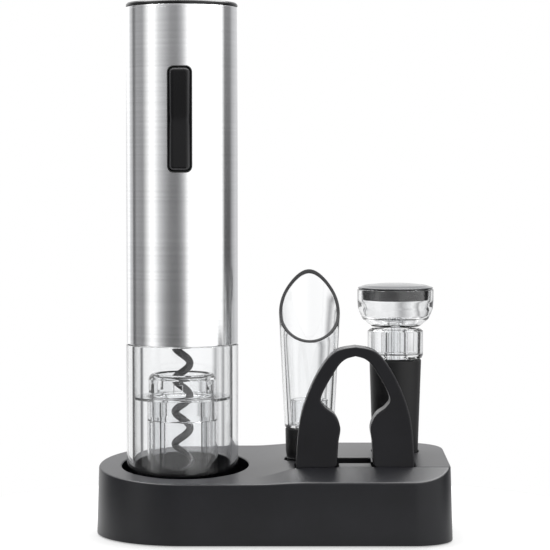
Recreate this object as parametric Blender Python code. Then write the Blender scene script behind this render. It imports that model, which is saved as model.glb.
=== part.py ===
"""Electric wine opener standing in its base, with a foil cutter, a pourer and a vacuum stopper.

Metres, +Z up. The origin is the middle of the base's underside. +X is the end that holds
the accessories, and -Y is the side that the opener's button faces. Sizes are written in
millimetres and multiplied by MM.
"""
import math

import bmesh
import bpy
from mathutils import Matrix, Vector

MM = 0.001
GAP = 0.3 * MM                    # clearance kept between neighbouring pieces

# Base: a rounded block, a round well for the opener and a platform for the accessories
BASE_HALF_LENGTH = 78.9 * MM
BASE_HALF_WIDTH = 39.8 * MM
BASE_CORNER_R = 18.0 * MM
BASE_DRAFT = 1.0 * MM             # how much smaller the outline is at the top
BASE_BOTTOM = 0.4 * MM            # the shell's lower edge, held up by the feet
BASE_WALL = 2.8 * MM
CEILING = 3.2 * MM                # thickness of the shell's top
WELL_X = -39.4 * MM
WELL_R = 28.4 * MM
WELL_FLOOR = 6.0 * MM
RING_Z = 30.7 * MM                # height of the tilted ring around the well, at y = 0
RING_SLOPE = 0.094
CREASE_Y = -25.8 * MM             # front edge of the accessory platform
CREASE_Z = 33.05 * MM
PLATFORM_SLOPE = 0.041
CHAMFER_SLOPE = 0.404
BLEND_FROM, BLEND_TO = 30.0 * MM, 55.0 * MM    # ring to platform, from the well's axis

# Opener: a steel tube on a clear sleeve
OPENER_X = -40.6 * MM
TUBE_R = 24.8 * MM
TUBE_WALL = 0.6 * MM
TUBE_FROM, TUBE_TO = 85.3 * MM, 234.6 * MM
SLEEVE_R, SLEEVE_BORE = 25.0 * MM, 21.6 * MM
SLEEVE_FROM, SLEEVE_TO = 6.3 * MM, 85.0 * MM
SPIGOT_TO = 92.0 * MM             # the sleeve's collar inside the steel tube
CHASSIS_R = TUBE_R - TUBE_WALL - GAP
CHASSIS_WALL = 1.6 * MM
CHASSIS_FROM, CHASSIS_TO = SPIGOT_TO + GAP, 228.0 * MM

# Button
BUTTON_Z = 184.7 * MM
BEZEL_WIDTH, BEZEL_HEIGHT, BEZEL_CORNER = 10.8 * MM, 46.3 * MM, 2.7 * MM
BEZEL_RIM = 0.5 * MM

# Cork screw
WORM_R = 3.3 * MM                 # helix radius at the middle of the wire
WIRE_R = 1.7 * MM
WORM_PITCH = 14.5 * MM
WORM_TOP, WORM_TIP = 86.0 * MM, 28.7 * MM
WORM_RIGHT_Z = 76.2 * MM          # a height at which the wire is furthest towards +X
WORM_TAPER = 13.0 * MM

# Planetary gear train
TOOTH_MODULE = 0.7 * MM
SUN_TEETH, PLANET_TEETH, RING_TEETH = 12, 18, 48
GEAR_FROM, GEAR_TO = 101.0 * MM, 107.0 * MM
PLANET_ORBIT = TOOTH_MODULE * (SUN_TEETH + PLANET_TEETH) / 2

# Foil cutter
CUTTER_X, CUTTER_FRONT, CUTTER_DEPTH = 36.0 * MM, -25.5 * MM, 12.0 * MM
CUTTER_LEG = 12.5 * MM            # length of the legs below the platform
NECK_R = 15.0 * MM                # round mouth between the leg tips

# Pourer and vacuum stopper
POURER_X, POURER_Y = 16.3 * MM, 1.0 * MM
STOPPER_X, STOPPER_Y = 55.6 * MM, 16.0 * MM
SOCKET_FLOOR = 22.0 * MM


def clear_scene():
    """Remove whatever the scene holds."""
    for obj in list(bpy.data.objects):
        bpy.data.objects.remove(obj, do_unlink=True)


def material(name, color, roughness, metallic=0.0, transmission=0.0):
    """A Principled material of one colour."""
    mat = bpy.data.materials.new(name)
    mat.use_nodes = True
    shader = mat.node_tree.nodes["Principled BSDF"]
    shader.inputs["Base Color"].default_value = (*color, 1.0)
    shader.inputs["Roughness"].default_value = roughness
    shader.inputs["Metallic"].default_value = metallic
    shader.inputs["Transmission Weight"].default_value = transmission
    return mat


def pivot(name, at, parent=None):
    """An empty on a joint's axis, which carries the pieces that move with it."""
    empty = bpy.data.objects.new(name, None)
    empty.location = at
    empty.parent = parent
    bpy.context.scene.collection.objects.link(empty)
    return empty


def add_piece(name, bm, mat, parent, at=(0, 0, 0)):
    """Turn a bmesh into a named object with outward normals and smooth round sides."""
    bmesh.ops.recalc_face_normals(bm, faces=bm.faces)
    mesh = bpy.data.meshes.new(name)
    bm.to_mesh(mesh)
    bm.free()
    mesh.materials.append(mat)
    mesh.shade_smooth()
    mesh.set_sharp_from_angle(angle=math.radians(35))
    obj = bpy.data.objects.new(name, mesh)
    obj.location = at
    obj.parent = parent
    bpy.context.scene.collection.objects.link(obj)
    return obj


def combine(target, name, bm, operation="DIFFERENCE", at=(0, 0, 0)):
    """Cut a shape out of a piece, or join it on, with a hidden guide object."""
    guide = add_piece(name, bm, target.data.materials[0], target.parent, at)
    guide.hide_render = True
    guide.display_type = "WIRE"
    boolean = target.modifiers.new(name, "BOOLEAN")
    boolean.operation = operation
    boolean.solver = "EXACT"
    boolean.object = guide
    return guide


def arc(cx, cy, radius, start, end, count):
    """Points along an arc, angles in degrees, both ends included."""
    angles = [math.radians(start + (end - start) * i / (count - 1)) for i in range(count)]
    return [(cx + radius * math.cos(a), cy + radius * math.sin(a)) for a in angles]


def rounded_rect(half_x, half_y, radius, count=4):
    """Outline of a rounded rectangle about the origin."""
    x, y = half_x - radius, half_y - radius
    return (arc(x, y, radius, 0, 90, count) + arc(-x, y, radius, 90, 180, count)
            + arc(-x, -y, radius, 180, 270, count) + arc(x, -y, radius, 270, 360, count))


def loft(rings):
    """A closed solid through rings of equally many points, capped at both ends."""
    bm = bmesh.new()
    loops = [[bm.verts.new(point) for point in ring] for ring in rings]
    for lower, upper in zip(loops, loops[1:]):
        for i in range(len(lower)):
            j = (i + 1) % len(lower)
            bm.faces.new((lower[i], lower[j], upper[j], upper[i]))
    bm.faces.new(list(reversed(loops[0])))
    bm.faces.new(loops[-1])
    return bm


def prism(outline, low, high):
    """An outline in X and Y, extruded along Z."""
    return loft([[(x, y, z) for x, y in outline] for z in (low, high)])


def slab(outline, front, back):
    """An outline in X and Z, extruded along Y."""
    return loft([[(x, y, z) for x, z in outline] for y in (front, back)])


def block(low, high):
    """A box between two corners."""
    (x0, y0, z0), (x1, y1, z1) = low, high
    return prism([(x0, y0), (x1, y0), (x1, y1), (x0, y1)], z0, z1)


def turned(profile, steps=32):
    """A closed profile of (radius, height) points, turned about the Z axis."""
    bm = bmesh.new()
    rings = []
    for radius, height in profile:
        if radius < 1e-7:
            rings.append([bm.verts.new((0, 0, height))])
            continue
        turn = [math.tau * i / steps for i in range(steps)]
        rings.append([bm.verts.new((radius * math.cos(a), radius * math.sin(a), height)) for a in turn])
    for ring, following in zip(rings, rings[1:] + rings[:1]):
        for i in range(steps):
            j = (i + 1) % steps
            corners = [ring[i % len(ring)], ring[j % len(ring)],
                       following[j % len(following)], following[i % len(following)]]
            corners = list(dict.fromkeys(corners))
            if len(corners) > 2:
                bm.faces.new(corners)
    return bm


def disc(radius, low, high, steps=24):
    """A plain round bar along Z."""
    return turned([(0, low), (radius, low), (radius, high), (0, high)], steps)


def along_y(bm):
    """Lay a shape made about the Z axis along Y."""
    bmesh.ops.rotate(bm, verts=bm.verts, cent=(0, 0, 0), matrix=Matrix.Rotation(-math.pi / 2, 3, "X"))
    return bm


# ---------------------------------------------------------------- base

def base_outline(inset):
    """The base seen from above: a half circle on the left, two round corners on the right."""
    half, corner = BASE_HALF_WIDTH - inset, BASE_CORNER_R - inset
    end_x, end_y = BASE_HALF_LENGTH - BASE_CORNER_R, BASE_HALF_WIDTH - BASE_CORNER_R
    left_x = BASE_HALF_WIDTH - BASE_HALF_LENGTH
    return (arc(left_x, 0, half, 90, 270, 25) + arc(end_x, -end_y, corner, 270, 360, 7)
            + arc(end_x, end_y, corner, 0, 90, 7))


def top_height(x, y):
    """Height of the base's top: a tilted ring that blends into the platform and its chamfer."""
    ring = RING_Z + RING_SLOPE * y
    slope = PLATFORM_SLOPE if y > CREASE_Y else CHAMFER_SLOPE
    platform = CREASE_Z + slope * (y - CREASE_Y)
    step = min(max((x - WELL_X - BLEND_FROM) / (BLEND_TO - BLEND_FROM), 0.0), 1.0)
    return ring + (platform - ring) * step * step * (3 - 2 * step)


def height_block():
    """A block larger than the base whose upper side is the base's top."""
    columns = [BLEND_FROM + (BLEND_TO - BLEND_FROM) * i / 6 for i in range(7)]
    xs = [-1.1 * BASE_HALF_LENGTH] + [WELL_X + c for c in columns] + [1.1 * BASE_HALF_LENGTH]
    ys = [-1.1 * BASE_HALF_WIDTH, 1.25 * CREASE_Y, CREASE_Y, CREASE_Y / 2,
          0, 0.4 * BASE_HALF_WIDTH, 0.8 * BASE_HALF_WIDTH, 1.1 * BASE_HALF_WIDTH]
    bm = bmesh.new()
    grid = [[bm.verts.new((x, y, top_height(x, y))) for y in ys] for x in xs]
    for near, far in zip(grid, grid[1:]):
        for j in range(len(ys) - 1):
            bm.faces.new((near[j], far[j], far[j + 1], near[j + 1]))
    bmesh.ops.triangulate(bm, faces=bm.faces)
    lower = bmesh.ops.extrude_face_region(bm, geom=bm.faces)["geom"]
    for vert in (v for v in lower if isinstance(v, bmesh.types.BMVert)):
        vert.co.z = 0
    return bm


PLATE_FROM, PLATE_TO = 1.5 * MM, 3.5 * MM
BOSS_SPOTS = [(x * MM, y * MM) for x, y in ((-6, -31), (-6, 31), (69, -25), (69, 25))]
FOOT_SPOTS = [(x * MM, y * MM) for x, y in ((-48, -29.5), (-48, 29.5), (58, -30), (58, 30))]
BOSS_R, SCREW_R, BORE_TO = 3.6 * MM, 1.2 * MM, 12.0 * MM
POURER_SOCKET_R, STOPPER_SOCKET_R = 11.2 * MM, 10.8 * MM
SOCKET_WALL = 1.6 * MM
POCKET_FLOOR = CREASE_Z - 13.4 * MM
ABOVE = 45 * MM                   # a height well over the base


def leg_pocket(side, margin=0.0):
    """Room for one leg of the foil cutter; a margin makes the wall around it."""
    inner, outer = 7.3 * MM - margin, 26.4 * MM + margin
    x0, x1 = sorted((CUTTER_X + side * inner, CUTTER_X + side * outer))
    front, back = CUTTER_FRONT - 0.3 * MM, CUTTER_FRONT + CUTTER_DEPTH + 0.5 * MM
    return block((x0, front - margin, POCKET_FLOOR - margin), (x1, back + margin, ABOVE))


def slot_between_legs(margin=0.0):
    """The narrow slot that joins the two pockets."""
    return block((CUTTER_X - 7.5 * MM, -16.7 * MM - margin, POCKET_FLOOR - margin),
                 (CUTTER_X + 7.5 * MM, -2.5 * MM + margin, ABOVE))


def build_cavity(shell):
    """Hollow the shell from below, leaving walls around the well, the sockets and the bosses."""
    inner = base_outline(BASE_WALL)
    lid = [(x, y, RING_Z - CEILING + RING_SLOPE * y) for x, y in inner]
    guide = combine(shell, "cavity_cutter", loft([[(x, y, -0.001) for x, y in inner], lid]))
    combine(guide, "well_wall", disc(WELL_R + 2 * MM, WELL_FLOOR - 2 * MM, ABOVE, 40), at=(WELL_X, 0, 0))
    for side in (-1, 1):
        combine(guide, f"pocket_wall_{side + 2}", leg_pocket(side, SOCKET_WALL))
    combine(guide, "slot_wall", slot_between_legs(SOCKET_WALL))
    sockets = ((POURER_X, POURER_Y, POURER_SOCKET_R), (STOPPER_X, STOPPER_Y, STOPPER_SOCKET_R))
    for i, (x, y, radius) in enumerate(sockets, 1):
        wall = disc(radius + SOCKET_WALL, SOCKET_FLOOR - SOCKET_WALL, ABOVE)
        combine(guide, f"socket_wall_{i}", wall, at=(x, y, 0))
    bore, foot = SCREW_R + GAP, PLATE_TO + GAP
    boss = [(bore, foot), (BOSS_R, foot), (BOSS_R, ABOVE), (0, ABOVE), (0, BORE_TO), (bore, BORE_TO)]
    for i, (x, y) in enumerate(BOSS_SPOTS, 1):
        combine(guide, f"boss_{i}", turned(boss, 12), at=(x, y, 0))


def build_base(root, mats):
    """The shell with its openings, the bottom plate, the feet and the screws."""
    low = [(x, y, BASE_BOTTOM) for x, y in base_outline(0)]
    high = [(x, y, ABOVE) for x, y in base_outline(BASE_DRAFT * ABOVE / CREASE_Z)]
    shell = add_piece("stand_shell", loft([low, high]), mats["shell"], root)
    combine(shell, "top_surface", height_block(), "INTERSECT")
    build_cavity(shell)
    combine(shell, "well_cutter", disc(WELL_R, WELL_FLOOR, ABOVE, 48), at=(WELL_X, 0, 0))
    for side in (-1, 1):
        combine(shell, f"pocket_cutter_{side + 2}", leg_pocket(side))
    combine(shell, "slot_cutter", slot_between_legs())
    combine(shell, "pourer_socket", disc(POURER_SOCKET_R, SOCKET_FLOOR, ABOVE), at=(POURER_X, POURER_Y, 0))
    combine(shell, "stopper_socket", disc(STOPPER_SOCKET_R, SOCKET_FLOOR, ABOVE),
            at=(STOPPER_X, STOPPER_Y, 0))
    plate = add_piece("stand_bottom_plate", prism(base_outline(BASE_WALL + GAP), PLATE_FROM, PLATE_TO),
                      mats["plate"], root)
    head = [(0, 0.3), (1.6, 0.3), (2.6, 0.8), (2.6, 1.2), (1.2, 1.2), (1.2, 11.0), (0, 11.0)]
    for i, (x, y) in enumerate(BOSS_SPOTS, 1):
        combine(plate, f"plate_hole_{i}", disc(SCREW_R + GAP, 0, BORE_TO, 12), at=(x, y, 0))
        screw = turned([(r * MM, z * MM) for r, z in head], 12)
        add_piece(f"stand_screw_{i}", screw, mats["screw"], root, (x, y, 0))
    pad = [(0, 0), (4.6 * MM, 0), (5.0 * MM, 0.4 * MM), (5.0 * MM, 1.2 * MM), (0, 1.2 * MM)]
    for i, (x, y) in enumerate(FOOT_SPOTS, 1):
        add_piece(f"stand_foot_{i}", turned(pad, 16), mats["rubber"], root, (x, y, 0))


# ---------------------------------------------------------------- opener: casing

def build_casing(opener, mats):
    """Steel tube, clear sleeve, cork guide and the two halves of the inner chassis."""
    bore = TUBE_R - TUBE_WALL
    tube = turned([(bore, TUBE_FROM), (TUBE_R, TUBE_FROM), (TUBE_R, TUBE_TO), (bore, TUBE_TO)], 48)
    tube = add_piece("steel_tube", tube, mats["steel"], opener)
    combine(tube, "tube_window", bezel_shape(GAP, -32 * MM, -10 * MM), at=(0, 0, BUTTON_Z))
    sleeve = turned([(SLEEVE_BORE, SLEEVE_FROM), (SLEEVE_R, SLEEVE_FROM), (SLEEVE_R, SLEEVE_TO),
                     (bore - GAP, SLEEVE_TO), (bore - GAP, SPIGOT_TO), (SLEEVE_BORE, SPIGOT_TO)], 48)
    add_piece("clear_sleeve", sleeve, mats["clear"], opener)
    for name, turn, at_front in (("chassis_front", 180, True), ("chassis_rear", 0, False)):
        half = (arc(0, 0, CHASSIS_R, turn + 0.5, turn + 179.5, 17)
                + arc(0, 0, CHASSIS_R - CHASSIS_WALL, turn + 179.5, turn + 0.5, 17))
        chassis = add_piece(name, prism(half, CHASSIS_FROM, CHASSIS_TO), mats["inner"], opener)
        if at_front:
            combine(chassis, "chassis_window", bezel_shape(GAP, -32 * MM, -10 * MM), at=(0, 0, BUTTON_Z))


def build_guide(opener, mats):
    """The clear guide that centres the bottle's mouth and steers the cork."""
    flange = SLEEVE_BORE - GAP
    lower_r, lower_bore, upper_bore = 15.8 * MM, 14.9 * MM, 13.4 * MM
    stop, shelf, top = 51.2 * MM, 60.6 * MM, 71.8 * MM
    profile = [(lower_bore, 10 * MM), (lower_r, 10 * MM), (lower_r, shelf), (flange, shelf),
               (flange, shelf + 1.2 * MM), (15.2 * MM, shelf + 1.2 * MM), (15.2 * MM, top - 2.4 * MM),
               (14.6 * MM, top - 0.9 * MM), (13.4 * MM, top), (12.2 * MM, top), (12.2 * MM, top - 1.4 * MM),
               (upper_bore, top - 1.4 * MM), (upper_bore, stop), (lower_bore, stop)]
    guide = add_piece("cork_guide", turned(profile, 32), mats["clear"], opener)
    for i, angle in enumerate((55, 125, 235, 305), 1):
        fin = block((lower_bore + 0.4 * MM, -0.6 * MM, 10.5 * MM), (flange - 0.2 * MM, 0.6 * MM, shelf + 0.4 * MM))
        bmesh.ops.rotate(fin, verts=fin.verts, cent=(0, 0, 0), matrix=Matrix.Rotation(math.radians(angle), 3, "Z"))
        combine(guide, f"guide_fin_{i}", fin, "UNION")


# ---------------------------------------------------------------- opener: button

def bezel_shape(margin, front, back):
    """The long rounded shape of the button's surround, about the button's middle."""
    outline = rounded_rect(BEZEL_WIDTH / 2 + margin, BEZEL_HEIGHT / 2 + margin, BEZEL_CORNER + margin)
    return slab(outline, front, back)


ROCKER_AXIS_Y = -23.4 * MM
DIP_R = 60.0 * MM                  # the shallow thumb hollow across the rocker's middle
SWITCH_OFFSET = 14.0 * MM         # the switches' distance from the rocker's axis


def build_button(opener, rocker_pivot, mats):
    """Bezel, rocker, circuit board and the two small switches that the rocker presses."""
    bezel = add_piece("button_bezel", bezel_shape(0, -25.5 * MM, -20.6 * MM), mats["bezel"], opener,
                      (0, 0, BUTTON_Z))
    combine(bezel, "bezel_opening", bezel_shape(-BEZEL_RIM, -30 * MM, -10 * MM), at=(0, 0, BUTTON_Z))
    half_x = BEZEL_WIDTH / 2 - BEZEL_RIM - 0.2 * MM
    half_z = BEZEL_HEIGHT / 2 - BEZEL_RIM - GAP
    corner = BEZEL_CORNER - BEZEL_RIM
    body = slab(rounded_rect(half_x, half_z, corner), -2.7 * MM, 0.3 * MM)
    rocker = add_piece("rocker_button", body, mats["button"], rocker_pivot)
    dip = disc(DIP_R, -half_x - 1 * MM, half_x + 1 * MM, 96)
    bmesh.ops.rotate(dip, verts=dip.verts, cent=(0, 0, 0), matrix=Matrix.Rotation(math.pi / 2, 3, "Y"))
    combine(rocker, "rocker_dip", dip, at=(0, -DIP_R - 2.0 * MM, 0))
    board = block((-7 * MM, -18.6 * MM, -24.5 * MM), (7 * MM, -17.2 * MM, 24.5 * MM))
    add_piece("circuit_board", board, mats["board"], opener, (0, 0, BUTTON_Z))
    for name, side in (("switch_up", 1), ("switch_down", -1)):
        body = block((-3 * MM, -21.0 * MM, -3 * MM), (3 * MM, -18.9 * MM, 3 * MM))
        switch = add_piece(name, body, mats["switch"], opener, (0, 0, BUTTON_Z + side * SWITCH_OFFSET))
        stem = along_y(disc(1.4 * MM, -21.9 * MM, -20.5 * MM, 16))
        combine(switch, f"{name}_stem", stem, "UNION", at=(0, 0, BUTTON_Z + side * SWITCH_OFFSET))


# ---------------------------------------------------------------- opener: power and drive

CELL_R, CELL_HEIGHT, CELL_SPACING = 7.25 * MM, 50.5 * MM, 8.05 * MM
TRAY_FROM, TRAY_TO = 171.0 * MM, 173.6 * MM
CELL_FROM = 174.8 * MM
CAP_FROM = 227.1 * MM


def build_power(opener, cap_pivot, mats):
    """Four AA cells in their tray, the contact plates, and the cap that covers them."""
    tray = add_piece("battery_tray", disc(21.8 * MM, TRAY_FROM, TRAY_TO, 24), mats["inner"], opener)
    combine(tray, "tray_flat", block((-30 * MM, -30 * MM, 0), (30 * MM, -16.6 * MM, TUBE_TO)))
    across = block((-0.5 * MM, -15 * MM, TRAY_TO - 1 * MM), (0.5 * MM, 15 * MM, CELL_FROM + 40 * MM))
    combine(tray, "tray_divider", across, "UNION")
    wing = block((-15 * MM, -0.5 * MM, CELL_FROM + 0.5 * MM), (15 * MM, 0.5 * MM, CELL_FROM + 40 * MM))
    combine(tray, "tray_wings", wing, "UNION")
    body, nub = CELL_HEIGHT - 1.2 * MM, 2.7 * MM
    for i, (side_x, side_y) in enumerate(((-1, -1), (1, -1), (1, 1), (-1, 1)), 1):
        profile = [(0, 0), (CELL_R, 0), (CELL_R, body), (nub, body), (nub, CELL_HEIGHT), (0, CELL_HEIGHT)]
        add_piece(f"battery_cell_{i}", turned(profile, 16), mats["cell"], opener,
                  (side_x * CELL_SPACING, side_y * CELL_SPACING, CELL_FROM))
    for name, side in (("contact_left", -1), ("contact_right", 1)):
        x0, x1 = sorted((side * 1.2 * MM, side * 13.5 * MM))
        strip = block((x0, -13.5 * MM, TRAY_TO + GAP), (x1, 13.5 * MM, CELL_FROM - GAP))
        add_piece(name, strip, mats["contact"], opener)
    contact = disc(17 * MM, CELL_FROM + CELL_HEIGHT + 0.4 * MM, CAP_FROM - GAP, 24)
    add_piece("contact_cap", contact, mats["contact"], cap_pivot)
    lip, shoulder = TUBE_TO + 0.3 * MM, CHASSIS_TO + 1.2 * MM
    profile = [(0, CAP_FROM), (21.8 * MM, CAP_FROM), (21.8 * MM, shoulder), (23.8 * MM, shoulder),
               (23.8 * MM, lip), (TUBE_R, lip), (TUBE_R, lip + 0.7 * MM), (24.5 * MM, lip + 1.3 * MM),
               (23.6 * MM, lip + 1.7 * MM), (21.4 * MM, lip + 1.7 * MM), (21.4 * MM, lip + 0.9 * MM),
               (0, lip + 0.9 * MM)]
    add_piece("battery_cap", turned(profile, 32), mats["bezel"], cap_pivot)
    seat = lip + 1.2 * MM
    dome = [(0, seat), (21.0 * MM, seat), (21.0 * MM, seat + 0.5 * MM), (14 * MM, seat + 0.9 * MM),
            (7 * MM, seat + 1.15 * MM), (0, seat + 1.2 * MM)]
    add_piece("cap_disc", turned(dome, 32), mats["steel"], cap_pivot)


def gear_outline(teeth, backlash=0.12 * MM, addendum=0.95, dedendum=1.2, phase=0.0):
    """Teeth on involute flanks around the origin; a negative backlash and swapped heights make a ring's gaps."""
    pitch_r = TOOTH_MODULE * teeth / 2
    base_r = pitch_r * math.cos(math.radians(20))
    root_r, tip_r = pitch_r - dedendum * TOOTH_MODULE, pitch_r + addendum * TOOTH_MODULE
    at_pitch = math.pi / (2 * teeth) - backlash / pitch_r + math.tan(math.radians(20)) - math.radians(20)
    flank = []
    for radius in (root_r, tip_r):
        pressure = math.acos(min(base_r / radius, 1.0))
        flank.append((radius, at_pitch - math.tan(pressure) + pressure))
    points = []
    for tooth in range(teeth):
        middle = math.tau * (tooth + phase) / teeth
        for radius, half in flank:
            points.append((radius * math.cos(middle - half), radius * math.sin(middle - half)))
        for radius, half in reversed(flank):
            points.append((radius * math.cos(middle + half), radius * math.sin(middle + half)))
    return points


def build_gears(opener, worm_pivot, pinion_pivot, planet_pivots, mats):
    """Motor, its pinion, three planets, the fixed ring and the carrier that drives the screw."""
    housing_r, hub_r, pin_r = 20.5 * MM, 4.0 * MM, 1.5 * MM
    ring = add_piece("ring_gear", disc(housing_r, GEAR_FROM - 3.6 * MM, GEAR_TO + 0.8 * MM, 32),
                     mats["gear"], opener)
    gaps = gear_outline(RING_TEETH, -0.12 * MM, 1.2, 0.95, 0.5)
    combine(ring, "ring_teeth", prism(gaps, 0, TUBE_TO))
    cover = [(6.3, 93.6), (housing_r / MM, 93.6), (housing_r / MM, 96.8), (6.3, 96.8)]
    add_piece("gearbox_cover", turned([(r * MM, z * MM) for r, z in cover], 24), mats["inner"], opener)
    bush = [(4.3, 92.6), (7.4, 92.6), (7.4, 93.3), (6.0, 93.3), (6.0, 96.6), (4.3, 96.6)]
    add_piece("output_bush", turned([(r * MM, z * MM) for r, z in bush], 16), mats["brass"], opener)
    lid = [(3.0, 108.1), (housing_r / MM, 108.1), (housing_r / MM, 109.7), (3.0, 109.7)]
    add_piece("gearbox_lid", turned([(r * MM, z * MM) for r, z in lid], 24), mats["inner"], opener)

    carrier = turned([(0, WORM_TOP + 4.3 * MM), (hub_r, WORM_TOP + 4.3 * MM), (hub_r, 97.6 * MM),
                      (14.5 * MM, 97.6 * MM), (14.5 * MM, GEAR_FROM - 0.4 * MM), (0, GEAR_FROM - 0.4 * MM)], 24)
    carrier = add_piece("planet_carrier", carrier, mats["gear"], worm_pivot)
    for i, planet_pivot in enumerate(planet_pivots, 1):
        angle = math.tau * (i - 1) / len(planet_pivots)
        at = (PLANET_ORBIT * math.cos(angle), PLANET_ORBIT * math.sin(angle), 0)
        combine(carrier, f"planet_pin_{i}", disc(pin_r, 98 * MM, GEAR_TO + 0.4 * MM, 12), "UNION", at)
        teeth = gear_outline(PLANET_TEETH, phase=0.5)
        bmesh_planet = prism(teeth, GEAR_FROM, GEAR_TO)
        turn = Matrix.Rotation(angle, 3, "Z")
        bmesh.ops.rotate(bmesh_planet, verts=bmesh_planet.verts, cent=(0, 0, 0), matrix=turn)
        planet = add_piece(f"planet_gear_{i}", bmesh_planet, mats["gear"], planet_pivot)
        combine(planet, f"planet_bore_{i}", disc(pin_r + GAP, 0, TUBE_TO, 12))
    pinion = add_piece("motor_pinion", prism(gear_outline(SUN_TEETH), GEAR_FROM, GEAR_TO),
                       mats["brass"], pinion_pivot)
    combine(pinion, "pinion_shaft", disc(1.2 * MM, GEAR_TO - 1 * MM, 122 * MM, 12), "UNION")
    can = [(1.5, 110.0), (5.0, 110.0), (5.0, 111.0), (13.9, 111.0), (13.9, 147.0), (5.0, 147.0),
           (5.0, 149.0), (0, 149.0), (0, 123.0), (1.5, 123.0)]
    add_piece("motor_can", turned([(r * MM, z * MM) for r, z in can], 20), mats["can"], opener)


def build_worm(worm_pivot, mats):
    """The cork screw: a right-handed wire helix with a tapering point, set in a round collar."""
    rings = []
    turns = (WORM_TOP + 1 * MM - WORM_TIP) / WORM_PITCH
    count = round(turns * 15)
    slope = WORM_PITCH / math.tau / WORM_R
    for i in range(count + 1):
        z = WORM_TIP + (WORM_TOP + 1 * MM - WORM_TIP) * i / count
        angle = math.tau * (z - WORM_RIGHT_Z) / WORM_PITCH
        grown = min((z - WORM_TIP) / WORM_TAPER, 1.0) ** 0.6
        wire = WIRE_R * max(grown, 0.12)
        outward = Vector((math.cos(angle), math.sin(angle), 0))
        along = Vector((-math.sin(angle), math.cos(angle), slope)).normalized()
        across = along.cross(outward)
        helix_r = WORM_R + WIRE_R - wire
        centre = outward * helix_r + Vector((0, 0, z))
        ring = [math.tau * k / 6 for k in range(6)]
        rings.append([centre + outward * wire * math.cos(a) + across * wire * math.sin(a) for a in ring])
    worm = add_piece("worm_screw", loft(rings), mats["worm"], worm_pivot)
    combine(worm, "worm_collar", disc(6.0 * MM, WORM_TOP - 0.4 * MM, WORM_TOP + 4 * MM, 20), "UNION")


# ---------------------------------------------------------------- foil cutter

def spline(points, steps=2):
    """A Catmull-Rom curve through the points; the last one is left for the next stretch."""
    curve = []
    padded = [points[0]] + points + [points[-1]]
    for a, b, c, d in zip(padded, padded[1:], padded[2:], padded[3:]):
        for i in range(steps):
            t = i / steps
            curve.append(tuple(0.5 * (2 * q + (r - p) * t + (2 * p - 5 * q + 4 * r - s) * t * t
                                      + (3 * q - p - 3 * r + s) * t ** 3)
                               for p, q, r, s in zip(a, b, c, d)))
    return curve


def cutter_outline():
    """The arch seen from the front, in X and Z about the middle of its feet at the platform."""
    outer = [(0, 52.6), (8.6, 50.5), (15.5, 42.4), (21.1, 30.7), (24.3, 19.5), (25.7, 5.4), (25.9, 0)]
    inner = [(8.0, 0), (7.4, 10.3), (6.6, 17.1), (9.1, 22.7), (13.5, 26.3), (14.9, 30.7),
             (8.6, 42.4), (4.6, 46.8), (0, 48.3)]
    leg = CUTTER_LEG / MM
    mouth = arc(0, -leg, NECK_R / MM, 0, 56, 9)
    tip = arc(22.4, 3.5 - leg, 3.5, 0, -90, 4)
    half = spline(outer) + [outer[-1]] + tip + mouth + spline(inner)
    left = [(-x, z) for x, z in reversed(half[1:])]
    return [(x * MM, z * MM) for x, z in half + [inner[-1]] + left]


WHEEL_R, WHEEL_THICK, AXLE_R = 3.6 * MM, 0.8 * MM, 0.9 * MM
WHEEL_REACH = 17.0 * MM           # the wheels' distance from the middle of the round mouth


def wheel_spots():
    """Where the four cutting wheels turn, from the middle of the feet."""
    spots = []
    for side in (-1, 1):
        for angle in (math.radians(11), math.radians(42)):
            spots.append((side * WHEEL_REACH * math.cos(angle),
                          WHEEL_REACH * math.sin(angle) - CUTTER_LEG))
    return spots


def build_cutter(cutter, wheel_pivots, mats):
    """The springy arch, with four small cutting wheels on pins in slots near the leg tips."""
    half_depth = CUTTER_DEPTH / 2
    frame = add_piece("cutter_frame", slab(cutter_outline(), -half_depth, half_depth), mats["cutter"], cutter)
    for i, ((x, z), wheel_pivot) in enumerate(zip(wheel_spots(), wheel_pivots), 1):
        slot_half = WHEEL_THICK / 2 + 0.35 * MM
        combine(frame, f"wheel_slot_{i}", along_y(disc(WHEEL_R + 0.4 * MM, -slot_half, slot_half, 16)), at=(x, 0, z))
        combine(frame, f"axle_bore_{i}", along_y(disc(AXLE_R + GAP, -4.3 * MM, 9 * MM, 8)), at=(x, 0, z))
        axle = along_y(disc(AXLE_R, -4.0 * MM, 5.5 * MM, 8))
        add_piece(f"wheel_axle_{i}", axle, mats["screw"], cutter, (x, 0, z))
        edge, bore, thick = WHEEL_R, AXLE_R + GAP, WHEEL_THICK / 2
        profile = [(bore, -thick), (edge - 0.8 * MM, -thick), (edge, -0.05 * MM), (edge, 0.05 * MM),
                   (edge - 0.8 * MM, thick), (bore, thick)]
        add_piece(f"cutting_wheel_{i}", along_y(turned(profile, 16)), mats["screw"], wheel_pivot)


# ---------------------------------------------------------------- pourer and stopper

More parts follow.
